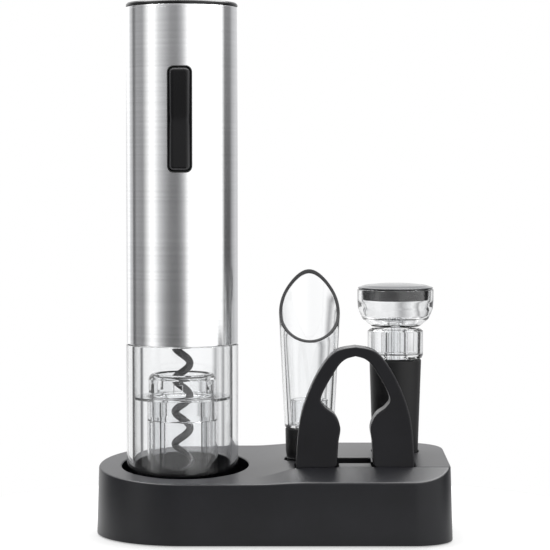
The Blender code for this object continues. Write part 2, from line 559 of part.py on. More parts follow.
def build_pourer(pourer, mats):
    """A clear flared spout with a slanted mouth, a clear inner ring and a rubber seal."""
    bottom, top, wall, floor = 47.3 * MM, 118.0 * MM, 2.0 * MM, 1.4 * MM
    low_r, high_r = 11.15 * MM, 14.6 * MM
    stem_r, stem_bore = 6.4 * MM, 5.0 * MM
    tube = turned([(stem_bore, 27 * MM), (stem_r, 27 * MM), (stem_r, bottom), (low_r, bottom),
                   (high_r, top), (high_r - wall, top), (low_r - wall, bottom + floor),
                   (stem_bore, bottom + floor)], 32)
    tube = add_piece("pourer_tube", tube, mats["clear"], pourer)
    middle_z, front_slope, back_slope, edge = 98.4 * MM, 0.935, 1.33, 30 * MM
    wedge = [(-edge, middle_z - front_slope * edge), (0, middle_z), (edge, middle_z + back_slope * edge),
             (edge, 200 * MM), (-edge, 200 * MM)]
    combine(tube, "slanted_mouth", loft([[(x, y, z) for y, z in wedge] for x in (-edge, edge)]))
    ring = [(7.6, 49.2), (8.4, 49.2), (8.4, 59.8), (7.6, 59.8)]
    add_piece("pourer_insert", turned([(r * MM, z * MM) for r, z in ring], 24), mats["clear"], pourer)
    seal = [(6.8, 22.4), (10.0, 22.4), (10.4, 24.0), (10.8, 46.9), (6.8, 46.9)]
    add_piece("pourer_seal", turned([(r * MM, z * MM) for r, z in seal], 24), mats["rubber"], pourer)


def build_stopper(stopper, knob, mats):
    """Rubber plug and clear neck; the clear bowl, its cap and the rod pump up and down."""
    seal = [(3.2, 22.4), (9.6, 22.4), (10.0, 24.0), (11.75, 76.2), (11.2, 76.9), (3.2, 76.9)]
    add_piece("stopper_seal", turned([(r * MM, z * MM) for r, z in seal], 24), mats["rubber"], stopper)
    neck = [(4.2, 77.3), (12.0, 77.3), (12.55, 78.6), (12.55, 89.6), (11.6, 90.5), (10.9, 90.5),
            (10.7, 79.0), (6.2, 79.0), (6.2, 90.5), (4.2, 90.5)]
    add_piece("stopper_neck", turned([(r * MM, z * MM) for r, z in neck], 24), mats["clear"], stopper)
    bowl = [(2.4, 91.7), (11.0, 91.7), (15.0, 95.0), (16.9, 99.5), (17.25, 103.0), (17.25, 108.6),
            (15.8, 108.6), (15.6, 103.2), (13.9, 96.6), (10.3, 93.3), (2.4, 93.3)]
    add_piece("stopper_bowl", turned([(r * MM, z * MM) for r, z in bowl], 32), mats["clear"], knob)
    cap = [(0, 103.6), (15.0, 103.6), (15.3, 108.9), (17.0, 108.9), (17.0, 109.4), (14.0, 110.4),
           (8.0, 111.0), (0, 111.2)]
    add_piece("stopper_cap", turned([(r * MM, z * MM) for r, z in cap], 32), mats["cap"], knob)
    rod = [(0, 60.0), (1.9, 60.0), (1.9, 93.6), (3.6, 93.6), (3.6, 94.6), (0, 94.6)]
    add_piece("pump_rod", turned([(r * MM, z * MM) for r, z in rod], 16), mats["clear"], knob)


# ---------------------------------------------------------------- assembly

def make_materials():
    """One material for each kind of surface."""
    return {
        "shell": material("shell", (0.035, 0.036, 0.040), 0.45),
        "plate": material("plate", (0.03, 0.03, 0.03), 0.6),
        "rubber": material("rubber", (0.02, 0.02, 0.02), 0.75),
        "screw": material("screw", (0.55, 0.56, 0.58), 0.35, 1.0),
        "steel": material("steel", (0.72, 0.73, 0.75), 0.28, 1.0),
        "clear": material("clear", (0.97, 0.98, 0.98), 0.02, 0.0, 1.0),
        "inner": material("inner", (0.10, 0.10, 0.11), 0.55),
        "bezel": material("bezel", (0.008, 0.008, 0.009), 0.25),
        "button": material("button", (0.03, 0.03, 0.03), 0.4),
        "board": material("board", (0.02, 0.16, 0.07), 0.5),
        "switch": material("switch", (0.05, 0.05, 0.05), 0.45),
        "cell": material("cell", (0.25, 0.26, 0.28), 0.3, 0.6),
        "contact": material("contact", (0.75, 0.74, 0.70), 0.3, 1.0),
        "gear": material("gear", (0.80, 0.79, 0.74), 0.5),
        "brass": material("brass", (0.75, 0.55, 0.25), 0.35, 1.0),
        "can": material("can", (0.60, 0.61, 0.63), 0.4, 1.0),
        "worm": material("worm", (0.10, 0.10, 0.11), 0.3, 0.8),
        "cutter": material("cutter", (0.035, 0.036, 0.040), 0.4),
        "cap": material("cap", (0.16, 0.16, 0.17), 0.35),
    }


def main():
    clear_scene()
    mats = make_materials()
    root = pivot("stand_origin", (0, 0, 0))
    build_base(root, mats)

    opener = pivot("opener_axis", (OPENER_X, 0, 0), root)
    worm_axis = pivot("worm_axis", (0, 0, 0), opener)
    pinion_axis = pivot("pinion_axis", (0, 0, 0), opener)
    planets = []
    for i in range(3):
        angle = math.tau * i / 3
        at = (PLANET_ORBIT * math.cos(angle), PLANET_ORBIT * math.sin(angle), 0)
        planets.append(pivot(f"planet_axis_{i + 1}", at, worm_axis))
    rocker_axis = pivot("rocker_axis", (0, ROCKER_AXIS_Y, BUTTON_Z), opener)
    cap_axis = pivot("cap_axis", (0, 0, 0), opener)
    build_casing(opener, mats)
    build_guide(opener, mats)
    build_button(opener, rocker_axis, mats)
    build_power(opener, cap_axis, mats)
    build_gears(opener, worm_axis, pinion_axis, planets, mats)
    build_worm(worm_axis, mats)

    cutter = pivot("cutter_axis", (CUTTER_X, CUTTER_FRONT + CUTTER_DEPTH / 2, CREASE_Z), root)
    wheels = [pivot(f"wheel_axis_{i}", (x, 0, z), cutter) for i, (x, z) in enumerate(wheel_spots(), 1)]
    build_cutter(cutter, wheels, mats)
    build_pourer(pivot("pourer_axis", (POURER_X, POURER_Y, 0), root), mats)
    stopper = pivot("stopper_axis", (STOPPER_X, STOPPER_Y, 0), root)
    build_stopper(stopper, pivot("knob_axis", (0, 0, 0), stopper), mats)


main()
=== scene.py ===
"""Looks for the electric wine opener: fine meshes, procedural finishes, studio and camera.

Everything is in metres in the row frame. Sizes are written in millimetres: turned() and the
constants of the turned pieces take them so, and everything else multiplies them by MM. The
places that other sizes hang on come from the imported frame's own boxes.
"""
import math

import bmesh
import bpy
from mathutils import Matrix, Vector
from mathutils.geometry import delaunay_2d_cdt


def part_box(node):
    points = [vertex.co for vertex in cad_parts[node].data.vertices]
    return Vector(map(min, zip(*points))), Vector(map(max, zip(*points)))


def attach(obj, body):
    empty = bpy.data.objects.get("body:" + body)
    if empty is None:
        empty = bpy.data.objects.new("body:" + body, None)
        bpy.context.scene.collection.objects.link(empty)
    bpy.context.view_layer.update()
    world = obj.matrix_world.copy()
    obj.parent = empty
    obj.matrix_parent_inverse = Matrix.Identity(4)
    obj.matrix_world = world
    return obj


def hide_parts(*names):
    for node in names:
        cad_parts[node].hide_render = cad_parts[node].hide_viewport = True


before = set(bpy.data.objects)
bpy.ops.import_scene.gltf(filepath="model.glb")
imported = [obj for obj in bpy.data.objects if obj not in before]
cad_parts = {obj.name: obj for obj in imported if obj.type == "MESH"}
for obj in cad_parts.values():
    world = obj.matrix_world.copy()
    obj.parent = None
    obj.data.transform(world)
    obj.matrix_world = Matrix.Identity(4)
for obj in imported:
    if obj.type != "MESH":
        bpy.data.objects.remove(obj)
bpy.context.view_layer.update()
MM = 0.001
SHARP_ANGLE = math.radians(35)    # edges that bend more than this stay sharp


def centre(node):
    """The middle of a CAD node's box in X and Y."""
    low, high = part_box(node)
    return (low.x + high.x) / 2, (low.y + high.y) / 2


OPENER = centre("clear_sleeve")
CUTTER = centre("cutter_frame")
POURER = centre("pourer_tube")
STOPPER = centre("stopper_neck")


# ---------------------------------------------------------------- mesh tools

def make(name, bm, at=(0, 0, 0)):
    """A smooth-shaded object from a bmesh, with its place put into its mesh."""
    bmesh.ops.recalc_face_normals(bm, faces=bm.faces)
    mesh = bpy.data.meshes.new(name)
    bm.to_mesh(mesh)
    bm.free()
    mesh.transform(Matrix.Translation(Vector(at)))
    mesh.shade_smooth()
    mesh.set_sharp_from_angle(angle=SHARP_ANGLE)
    obj = bpy.data.objects.new(name, mesh)
    bpy.context.scene.collection.objects.link(obj)
    return obj


def combine(target, bm, at=(0, 0, 0), operation="DIFFERENCE"):
    """Cuts a shape out of target, or joins it on."""
    other = make("guide", bm, at)
    boolean = target.modifiers.new("combine", "BOOLEAN")
    boolean.operation = operation
    boolean.solver = "EXACT"
    boolean.object = other
    bpy.context.view_layer.update()
    depsgraph = bpy.context.evaluated_depsgraph_get()
    mesh = bpy.data.meshes.new_from_object(target.evaluated_get(depsgraph))
    target.modifiers.remove(boolean)
    target.data = mesh
    bpy.data.objects.remove(other, do_unlink=True)
    mesh.shade_smooth()
    mesh.set_sharp_from_angle(angle=SHARP_ANGLE)


def arc(cx, cy, radius, start, end, count):
    """Points along an arc, angles in degrees, both ends included."""
    angles = [math.radians(start + (end - start) * i / (count - 1)) for i in range(count)]
    return [(cx + radius * math.cos(a), cy + radius * math.sin(a)) for a in angles]


def circle(cx, cy, radius, count):
    """Points all round a circle, without repeating the first."""
    return arc(cx, cy, radius, 0, 360 - 360 / count, count)


def run(start, end, pieces):
    """The points between two ends of a straight stretch, ends left out."""
    return [(start[0] + (end[0] - start[0]) * i / pieces, start[1] + (end[1] - start[1]) * i / pieces)
            for i in range(1, pieces)]


def rounded_rect(half_x, half_y, radius, count=9):
    """Outline of a rounded rectangle about the origin."""
    x, y = half_x - radius, half_y - radius
    return (arc(x, y, radius, 0, 90, count) + arc(-x, y, radius, 90, 180, count)
            + arc(-x, -y, radius, 180, 270, count) + arc(x, -y, radius, 270, 360, count))


def filleted(corners, count=5):
    """A closed outline from (x, y, radius) corners, each rounded by its own radius."""
    outline = []
    total = len(corners)
    for i, (x, y, radius) in enumerate(corners):
        here = Vector((x, y))
        before = Vector(corners[i - 1][:2]) - here
        after = Vector(corners[(i + 1) % total][:2]) - here
        half = before.angle(after) / 2 if before.length and after.length else math.pi / 2
        if radius <= 0 or half > math.radians(88):
            outline.append((x, y))
            continue
        reach = min(radius / math.tan(half), 0.49 * before.length, 0.49 * after.length)
        hub = here + (before.normalized() + after.normalized()).normalized() * (reach / math.cos(half))
        first = here + before.normalized() * reach - hub
        last = here + after.normalized() * reach - hub
        start = math.atan2(first.y, first.x)
        sweep = math.atan2(last.y, last.x) - start
        sweep = (sweep + math.pi) % math.tau - math.pi
        for k in range(count):
            angle = start + sweep * k / (count - 1)
            outline.append((hub.x + first.length * math.cos(angle), hub.y + first.length * math.sin(angle)))
    return outline


def offset(outline, distance):
    """The outline moved outwards by distance, for one that runs anticlockwise."""
    moved = []
    total = len(outline)
    for i, point in enumerate(outline):
        here = Vector(point)
        before = (here - Vector(outline[i - 1])).normalized()
        after = (Vector(outline[(i + 1) % total]) - here).normalized()
        normal = Vector((before.y + after.y, -before.x - after.x)).normalized()
        miter = max(normal.dot(Vector((before.y, -before.x))), 0.5)
        moved.append(tuple(here + normal * (distance / miter)))
    return moved


def skin(bm, lower, upper):
    """A band of faces between two loops of equally many points."""
    for i in range(len(lower)):
        j = (i + 1) % len(lower)
        bm.faces.new((lower[i], lower[j], upper[j], upper[i]))


def loft(rings, closed=False):
    """A skin through rings of equally many points, capped at both ends unless it closes on itself."""
    bm = bmesh.new()
    loops = [[bm.verts.new(point) for point in ring] for ring in rings]
    for lower, upper in zip(loops, loops[1:] + loops[:1] if closed else loops[1:]):
        skin(bm, lower, upper)
    if not closed:
        bm.faces.new(list(reversed(loops[0])))
        bm.faces.new(loops[-1])
    return bm


def slab(outline, front, back):
    """An outline in X and Z, extruded along Y."""
    return loft([[(x, y, z) for x, z in outline] for y in (front, back)])


def soft_slab(outline, front, back, edge, count=5):
    """A slab along Y whose front and back edges are rounded by edge."""
    rings = []
    for side, face in ((-1, front), (1, back)):
        turns = [math.pi / 2 * k / (count - 1) for k in range(count)]
        for turn in (reversed(turns) if side < 0 else turns):
            inset = edge * (1 - math.cos(turn))
            y = face - side * edge * (1 - math.sin(turn))
            rings.append([(x, y, z) for x, z in offset(outline, -inset)])
    return loft(rings)


LONG_STRETCH, VERY_LONG_STRETCH, SUPPORT_REACH = 1.6, 12, 0.3


def supported(outline):
    """The outline with an extra point close to both ends of each long stretch, to keep it flat."""
    points = []
    for start, end in zip(outline, outline[1:] + outline[:1]):
        points.append(start)
        length = math.dist(start, end)
        if length > LONG_STRETCH:
            near = SUPPORT_REACH / length
            shares = [near, *[k / 4 for k in (1, 2, 3) if length > VERY_LONG_STRETCH], 1 - near]
            points += [(start[0] + (end[0] - start[0]) * t, start[1] + (end[1] - start[1]) * t)
                       for t in shares]
    return points


def turned(corners, steps=96, count=4):
    """(radius, height, rounding) corners in millimetres, rounded and turned about the Z axis."""
    bm = bmesh.new()
    rings = []
    for radius, height in supported(filleted(corners, count)):
        radius, height = radius * MM, height * MM
        if radius < 1e-7:
            rings.append([bm.verts.new((0, 0, height))])
            continue
        turn = [math.tau * i / steps for i in range(steps)]
        rings.append([bm.verts.new((radius * math.cos(a), radius * math.sin(a), height)) for a in turn])
    for ring, following in zip(rings, rings[1:] + rings[:1]):
        for i in range(steps):
            j = (i + 1) % steps
            around = [ring[i % len(ring)], ring[j % len(ring)],
                      following[j % len(following)], following[i % len(following)]]
            around = list(dict.fromkeys(around))
            if len(around) > 2:
                bm.faces.new(around)
    return bm


def along_y(bm):
    """Lays a shape made about the Z axis along Y."""
    bmesh.ops.rotate(bm, verts=bm.verts, cent=(0, 0, 0), matrix=Matrix.Rotation(-math.pi / 2, 3, "X"))
    return bm


def paint_some(piece, mat, chosen):
    """Gives a second finish to the faces that chosen picks."""
    piece.data.materials.append(mat)
    for face in piece.data.polygons:
        face.material_index = int(chosen(face))


def even_normals(obj):
    """Keeps large faces flat where they meet narrow rounded edges."""
    weighted = obj.modifiers.new("even_normals", "WEIGHTED_NORMAL")
    weighted.keep_sharp = True


# ---------------------------------------------------------------- finishes

class Nodes:
    """A material under construction: its shader, and helpers that add texture nodes."""

    def __init__(self, name):
        self.mat = bpy.data.materials.new(name)
        self.mat.use_nodes = True
        self.tree = self.mat.node_tree
        self.shader = self.tree.nodes["Principled BSDF"]
        self.coordinates = self.tree.nodes.new("ShaderNodeTexCoord")

    def link(self, source, target):
        self.tree.links.new(source, target)

    def noise(self, scale, detail=4.0, stretch=(1, 1, 1)):
        """Noise with scale cells per metre, squeezed along each axis by stretch."""
        mapping = self.tree.nodes.new("ShaderNodeMapping")
        mapping.inputs["Scale"].default_value = stretch
        texture = self.tree.nodes.new("ShaderNodeTexNoise")
        texture.inputs["Scale"].default_value = scale
        texture.inputs["Detail"].default_value = detail
        texture.inputs["Roughness"].default_value = 0.55
        self.link(self.coordinates.outputs["Object"], mapping.inputs["Vector"])
        self.link(mapping.outputs["Vector"], texture.inputs["Vector"])
        return texture.outputs["Fac"]

    def spread(self, value, low, high, start=0.3, end=0.7):
        """Maps a texture's middle range to low..high."""
        mapped = self.tree.nodes.new("ShaderNodeMapRange")
        mapped.inputs["From Min"].default_value = start
        mapped.inputs["From Max"].default_value = end
        mapped.inputs["To Min"].default_value = low
        mapped.inputs["To Max"].default_value = high
        self.link(value, mapped.inputs["Value"])
        return mapped.outputs["Result"]

    def blend(self, factor, low, high):
        """A colour between two, by factor."""
        mix = self.tree.nodes.new("ShaderNodeMix")
        mix.data_type = "RGBA"
        mix.inputs["A"].default_value = (*low, 1)
        mix.inputs["B"].default_value = (*high, 1)
        self.link(factor, mix.inputs["Factor"])
        return mix.outputs["Result"]

    def bump(self, height, distance):
        """Turns a height between 0 and 1 into relief distance deep."""
        bump = self.tree.nodes.new("ShaderNodeBump")
        bump.inputs["Distance"].default_value = distance
        bump.inputs["Strength"].default_value = 1.0
        self.link(height, bump.inputs["Height"])
        return bump.outputs["Normal"]


def moulded(name, color, roughness, grain=2600, depth=0.012, specular=0.5, variation=0.25,
            metallic=0.0):
    """Moulded plastic or rubber: an eroded grain depth millimetres deep, flow marks and patches."""
    nodes = Nodes(name)
    clouds = nodes.noise(38, 3)
    flow = nodes.noise(9, 2, (1, 1, 4))
    fine = nodes.noise(grain, 2)
    low = tuple(c * (1 - variation) for c in color)
    high = tuple(c * (1 + variation) for c in color)
    nodes.link(nodes.blend(nodes.spread(clouds, 0, 1), low, high), nodes.shader.inputs["Base Color"])
    nodes.link(nodes.spread(flow, roughness * 0.9, roughness * 1.1), nodes.shader.inputs["Roughness"])
    nodes.link(nodes.bump(fine, depth * MM), nodes.shader.inputs["Normal"])
    nodes.shader.inputs["Specular IOR Level"].default_value = specular
    nodes.shader.inputs["Metallic"].default_value = metallic
    return nodes.mat


def brushed(name, color, roughness, lines, depth=0.004, anisotropy=0.0, variation=0.04):
    """Metal with fine brushing lines; lines gives how fast they change along each axis."""
    nodes = Nodes(name)
    scratches = nodes.noise(1, 3, lines)
    coarse = nodes.noise(1, 2, tuple(v * 0.22 for v in lines))
    wear = nodes.noise(30, 3)
    low = tuple(c * (1 - variation) for c in color)
    high = tuple(min(c * (1 + variation), 1.0) for c in color)
    nodes.link(nodes.blend(nodes.spread(coarse, 0, 1), low, high), nodes.shader.inputs["Base Color"])
    nodes.link(nodes.spread(wear, roughness * 0.9, roughness * 1.12), nodes.shader.inputs["Roughness"])
    nodes.link(nodes.bump(scratches, depth * MM), nodes.shader.inputs["Normal"])
    nodes.shader.inputs["Metallic"].default_value = 1.0
    if anisotropy:
        tangent = nodes.tree.nodes.new("ShaderNodeTangent")
        tangent.direction_type = "RADIAL"
        tangent.axis = "Z"
        nodes.shader.inputs["Anisotropic"].default_value = anisotropy
        nodes.shader.inputs["Anisotropic Rotation"].default_value = 0.25
        nodes.link(tangent.outputs["Tangent"], nodes.shader.inputs["Tangent"])
    return nodes.mat


def clear_with_edge_shade(name, color, edge, roughness, depth):
    """Clear moulded plastic with painted shade where it is seen edge-on, and faint waves and haze."""
    nodes = Nodes(name)
    haze = nodes.noise(160, 4)
    waves = nodes.noise(55, 1, (1, 1, 0.5))
    facing = nodes.tree.nodes.new("ShaderNodeLayerWeight")
    facing.inputs["Blend"].default_value = 0.5
    # painted shade: the base colour moves to the dark edge colour where the surface is seen edge-on
    rim = nodes.spread(facing.outputs["Facing"], 0, 1, 0.62, 1.0)
    nodes.link(nodes.blend(rim, color, edge), nodes.shader.inputs["Base Color"])
    nodes.link(nodes.spread(haze, roughness * 0.4, roughness * 1.8), nodes.shader.inputs["Roughness"])
    nodes.link(nodes.bump(waves, depth * MM), nodes.shader.inputs["Normal"])
    nodes.shader.inputs["Transmission Weight"].default_value = 1.0
    nodes.shader.inputs["IOR"].default_value = 1.49
    return nodes.mat


def printed_board(name):
    """Green solder mask over faint copper tracks."""
    nodes = Nodes(name)
    tracks = nodes.tree.nodes.new("ShaderNodeTexBrick")
    tracks.inputs["Scale"].default_value = 300
    tracks.inputs["Color1"].default_value = (0.02, 0.17, 0.07, 1)
    tracks.inputs["Color2"].default_value = (0.015, 0.13, 0.05, 1)
    tracks.inputs["Mortar"].default_value = (0.05, 0.26, 0.10, 1)
    nodes.link(nodes.coordinates.outputs["Object"], tracks.inputs["Vector"])
    nodes.link(tracks.outputs["Color"], nodes.shader.inputs["Base Color"])
    nodes.link(nodes.spread(nodes.noise(400), 0.35, 0.5), nodes.shader.inputs["Roughness"])
    return nodes.mat


FINISHES = {
    "shell": moulded("shell_satin", (0.0068, 0.0070, 0.0088), 0.37, specular=0.28),
    "plate": moulded("plate_matte", (0.012, 0.012, 0.012), 0.6),
    "rubber": moulded("rubber_matte", (0.007, 0.007, 0.0075), 0.5, 900, 0.03, 0.3),
    "screw": brushed("screw_steel", (0.55, 0.56, 0.58), 0.32, (900, 900, 900)),
    "steel": brushed("steel_brushed", (0.80, 0.805, 0.81), 0.19, (45, 45, 7000), anisotropy=0.8,
                     variation=0.05),
    # the second colour is painted shade for where the clear plastic is seen edge-on
    "clear": clear_with_edge_shade("clear_moulded_edge_shade", (0.955, 0.96, 0.965), (0.30, 0.31, 0.32), 0.02, 0.02),
    "inner": moulded("inner_plastic", (0.06, 0.06, 0.065), 0.5),
    "bezel": moulded("bezel_gloss", (0.004, 0.004, 0.0045), 0.28, depth=0.004, specular=0.4),
    "button": moulded("button_satin", (0.003, 0.003, 0.0034), 0.22, 2200, 0.006, 0.4),
    "board": printed_board("board_green"),
    "switch": moulded("switch_black", (0.03, 0.03, 0.03), 0.45),
    "cell": moulded("cell_wrap", (0.10, 0.11, 0.13), 0.3, depth=0.003, metallic=0.6),
    "contact": brushed("contact_plated", (0.78, 0.76, 0.70), 0.3, (700, 90, 90)),
    "gear": moulded("gear_acetal", (0.72, 0.71, 0.66), 0.45, depth=0.008, variation=0.04),
    "brass": brushed("brass_turned", (0.78, 0.58, 0.28), 0.3, (80, 80, 3000)),
    "can": brushed("can_zinc", (0.58, 0.60, 0.62), 0.38, (300, 300, 300)),
    "worm": moulded("worm_coated", (0.035, 0.035, 0.038), 0.32, 1800, 0.01, 0.6, 0.2, 0.3),
    "cutter": moulded("cutter_satin", (0.0065, 0.0065, 0.0082), 0.34, specular=0.3),
    # the dome's lighter tone is painted light, paired with the darker copy on the cap's side
    "cap": moulded("cap_satin", (0.036, 0.037, 0.040), 0.2, specular=0.5, depth=0.004),
}
# Second finishes, for some faces of a piece: painted shade on the pourer's cut edge and the cap's side, a
# matte finish with painted shade in the well, a painted highlight on the button's rim, and spun steel for
# the cap's disc
CUT_EDGE_SHADE = moulded("clear_cut_edge_painted_shade", (0.026, 0.026, 0.027), 0.35, depth=0.004, specular=0.04)
SPUN_STEEL = brushed("steel_spun", (0.55, 0.555, 0.56), 0.34, (260, 260, 260), 0.002, 0.9, 0.06)
BUTTON_RIM_HIGHLIGHT = moulded("button_rim_painted_highlight", (0.035, 0.035, 0.037), 0.35, 2200, 0.006, 0.3)
WELL_MATTE_SHADE = moulded("well_matte_painted_shade", (0.006, 0.006, 0.0078), 0.6, specular=0.0)
CAP_SIDE_SHADE = moulded("cap_side_painted_shade", (0.010, 0.010, 0.011), 0.2, specular=0.5, depth=0.004)


def place(piece, body, slot, *nodes):
    """Puts a finished piece on its body, with its slot's finish, in place of its CAD nodes."""
    even_normals(piece)
    piece.data.materials.clear()
    piece.data.materials.append(FINISHES[slot])
    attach(piece, body)
    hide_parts(*nodes)


# ---------------------------------------------------------------- base

HALF_LENGTH, HALF_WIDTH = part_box("stand_shell")[1][:2]
CORNER_R = 18.0 * MM
DRAFT = 1.0 / 33.05               # how fast the outline shrinks with height
SHELL_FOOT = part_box("stand_shell")[0].z
WELL_X, WELL_R, WELL_FLOOR = -39.4 * MM, 28.4 * MM, 6.0 * MM
RING_Z, RING_SLOPE = 30.7 * MM, 0.094
CREASE_Y, CREASE_Z = -25.8 * MM, 33.05 * MM
PLATFORM_SLOPE, CHAMFER_SLOPE = 0.041, 0.404
BLEND_FROM, BLEND_TO = 30.0 * MM, 55.0 * MM
POCKET_FLOOR, SOCKET_FLOOR = 19.65 * MM, 22.0 * MM
POURER_SOCKET_R, STOPPER_SOCKET_R = 11.2 * MM, 10.8 * MM
TOP_EDGE, WELL_EDGE, HOLE_EDGE, FOOT_EDGE = 0.8 * MM, 0.7 * MM, 0.45 * MM, 0.5 * MM
LIP_WIDTH, LIP_DEPTH = 2.8 * MM, 2.4 * MM     # the wall that stands out below the base's underside
FILLET_STEPS = 5
GRID_STEP, CREASE_STEP = 2.8 * MM, 1.6 * MM   # spacing of the points that carry the top's curve
RIM_CLEAR, CREASE_CLEAR, GRID_CLEAR = 0.32 * MM, 0.9 * MM, 1.2 * MM   # how far they keep from a rim
CREASE_FROM, GRID_FROM = -18 * MM, -80 * MM   # the X at which their rows start
SLIVER = 0.002 * MM              # triangles flatter than this lie outside the rim


def base_outline(inset):
    """The base from above, anticlockwise: a half circle on the left, two round corners on the right."""
    half, corner = HALF_WIDTH - inset, CORNER_R - inset
    end_x, end_y = HALF_LENGTH - CORNER_R, HALF_WIDTH - CORNER_R
    left_x = HALF_WIDTH - HALF_LENGTH
    right = end_x + corner
    return (arc(left_x, 0, half, 90, 270, 81) + run((left_x, -half), (end_x, -half), 36)
            + arc(end_x, -end_y, corner, 270, 360, 25) + run((right, -end_y), (right, end_y), 14)
            + arc(end_x, end_y, corner, 0, 90, 25) + run((end_x, half), (left_x, half), 36))


def top_height(x, y):
    """Height of the base's top: a tilted ring that blends into the platform and its chamfer."""
    ring = RING_Z + RING_SLOPE * y
    slope = PLATFORM_SLOPE if y > CREASE_Y else CHAMFER_SLOPE
    platform = CREASE_Z + slope * (y - CREASE_Y)
    step = min(max((x - WELL_X - BLEND_FROM) / (BLEND_TO - BLEND_FROM), 0.0), 1.0)
    return ring + (platform - ring) * step * step * (3 - 2 * step)


def cutter_hole():
    """The foil cutter's two leg pockets and the slot that joins them, anticlockwise."""
    front, back, strip, slot_back = CREASE_Y / MM, -13.0, -16.7, -2.5
    outer, inner, slot = 26.4, 7.3, 7.5
    right = [(inner, strip), (inner, front), (outer, front), (outer, back), (slot, back), (slot, slot_back)]
    corners = right + [(-x, y) for x, y in reversed(right)]
    middle = CUTTER[0] / MM
    return filleted([((middle + x) * MM, y * MM, 0.8 * MM) for x, y in corners], 4)


def inside(x, y, outline):
    """Whether a point is inside an outline."""
    crossings = 0
    for (x0, y0), (x1, y1) in zip(outline, outline[1:] + outline[:1]):
        if (y0 > y) != (y1 > y) and x < x0 + (x1 - x0) * (y - y0) / (y1 - y0):
            crossings += 1
    return crossings % 2 == 1


def edge_turns():
    """(sideways, down) shares of a rounded edge's radius, from the wall to the top."""
    angles = [math.pi / 2 * k / (FILLET_STEPS - 1) for k in range(FILLET_STEPS)]
    return [(1 - math.cos(a), 1 - math.sin(a)) for a in angles]


def base_shell():
    """The base's outside, its top with rounded rims, and the walls of its openings."""
    bm = bmesh.new()

    def ring_at(outline, height):
        return [bm.verts.new((x, y, height)) for x, y in outline]

    plain, shrunk = base_outline(0), base_outline(MM)

    def outer_point(i, inset):
        share = inset / MM
        return tuple(a + (b - a) * share for a, b in zip(plain[i], shrunk[i]))

    loops = [ring_at(base_outline(LIP_WIDTH), SHELL_FOOT + LIP_DEPTH),
             ring_at(base_outline(LIP_WIDTH), SHELL_FOOT)]
    for side, down in reversed(edge_turns()):
        loops.append(ring_at(base_outline(FOOT_EDGE * side), SHELL_FOOT + FOOT_EDGE * down))
    bm.faces.new(loops[0])
    rim_outline = []
    walls = [[], [], []]
    fillet = [[] for _ in range(FILLET_STEPS)]
    for i in range(len(plain)):
        lip = top_height(*outer_point(i, MM))
        for wall, share in zip(walls, (0.2, 0.5, 0.8)):
            z = SHELL_FOOT + (lip - SHELL_FOOT) * share
            wall.append(bm.verts.new((*outer_point(i, DRAFT * z), z)))
        for ring, (side, down) in zip(fillet, edge_turns()):
            x, y = outer_point(i, DRAFT * lip + TOP_EDGE * side)
            ring.append(bm.verts.new((x, y, top_height(x, y) - TOP_EDGE * down)))
        rim_outline.append(outer_point(i, DRAFT * lip + TOP_EDGE))
    loops += walls + fillet
    for lower, upper in zip(loops, loops[1:]):
        skin(bm, lower, upper)

    rims = [fillet[-1]]
    holes = []
    openings = ((circle(WELL_X, 0, WELL_R, 112), WELL_FLOOR, WELL_EDGE),
                (cutter_hole(), POCKET_FLOOR, HOLE_EDGE),
                (circle(*POURER, POURER_SOCKET_R, 56), SOCKET_FLOOR, HOLE_EDGE),
                (circle(*STOPPER, STOPPER_SOCKET_R, 56), SOCKET_FLOOR, HOLE_EDGE))
    for outline, floor, edge in openings:
        rings = [ring_at(outline, floor)]
        bm.faces.new(rings[0])
        for side, down in edge_turns():
            wide = offset(outline, edge * side)
            rings.append([bm.verts.new((x, y, top_height(x, y) - edge * down)) for x, y in wide])
        for lower, upper in zip(rings, rings[1:]):
            skin(bm, lower, upper)
        rims.append(rings[-1])
        holes.append(wide)

    # The top: the rims' points, a row beside each rim and along the crease, and a grid in between
    points, edges = [], []
    for rim in rims:
        start = len(points)
        points += [Vector(vert.co[:2]) for vert in rim]
        edges += [(start + i, start + (i + 1) % len(rim)) for i in range(len(rim))]
    fixed = len(points)
    rim_points = points[:]

    def try_point(x, y, clear):
        """Adds a point on the top if it keeps clear of the rims."""
        if not inside(x, y, rim_outline) or any(inside(x, y, hole) for hole in holes):
            return
        if all((p.x - x) ** 2 + (p.y - y) ** 2 > clear ** 2 for p in rim_points):
            points.append(Vector((x, y)))

    beside_rims = [point for hole in holes for point in offset(hole, 0.5 * MM)]
    for x, y in beside_rims + offset(rim_outline, -0.6 * MM):
        try_point(x, y, RIM_CLEAR)
    for rise in (-0.9, -0.3, 0.3, 0.9):
        for i in range(60):
            try_point(CREASE_FROM + CREASE_STEP * i, CREASE_Y + rise * MM, CREASE_CLEAR)
    for k in range(-4, 25):
        for i in range(58):
            try_point(GRID_FROM + GRID_STEP * i, CREASE_Y + GRID_STEP * (k + 0.5), GRID_CLEAR)
    found, _, faces, origins, _, _ = delaunay_2d_cdt(points, edges, [], 0, 1e-7)
    rim_verts = [vert for rim in rims for vert in rim]
    verts = []
    for point, origin in zip(found, origins):
        rim_index = next((i for i in origin if i < fixed), None)
        if rim_index is not None:
            verts.append(rim_verts[rim_index])
        else:
            verts.append(bm.verts.new((point.x, point.y, top_height(point.x, point.y))))
    for a, b, c in faces:
        x = (found[a].x + found[b].x + found[c].x) / 3
        y = (found[a].y + found[b].y + found[c].y) / 3
        first, second = found[b] - found[a], found[c] - found[a]
        if abs(first.cross(second)) < SLIVER * max(first.length, second.length):
            continue
        if inside(x, y, rim_outline) and not any(inside(x, y, hole) for hole in holes):
            bm.faces.new((verts[a], verts[b], verts[c]))
    return bm


shell = make("stand_shell_visual", base_shell())
place(shell, "stand", "shell", "stand_shell")
WELL_MARGIN = 0.1 * MM
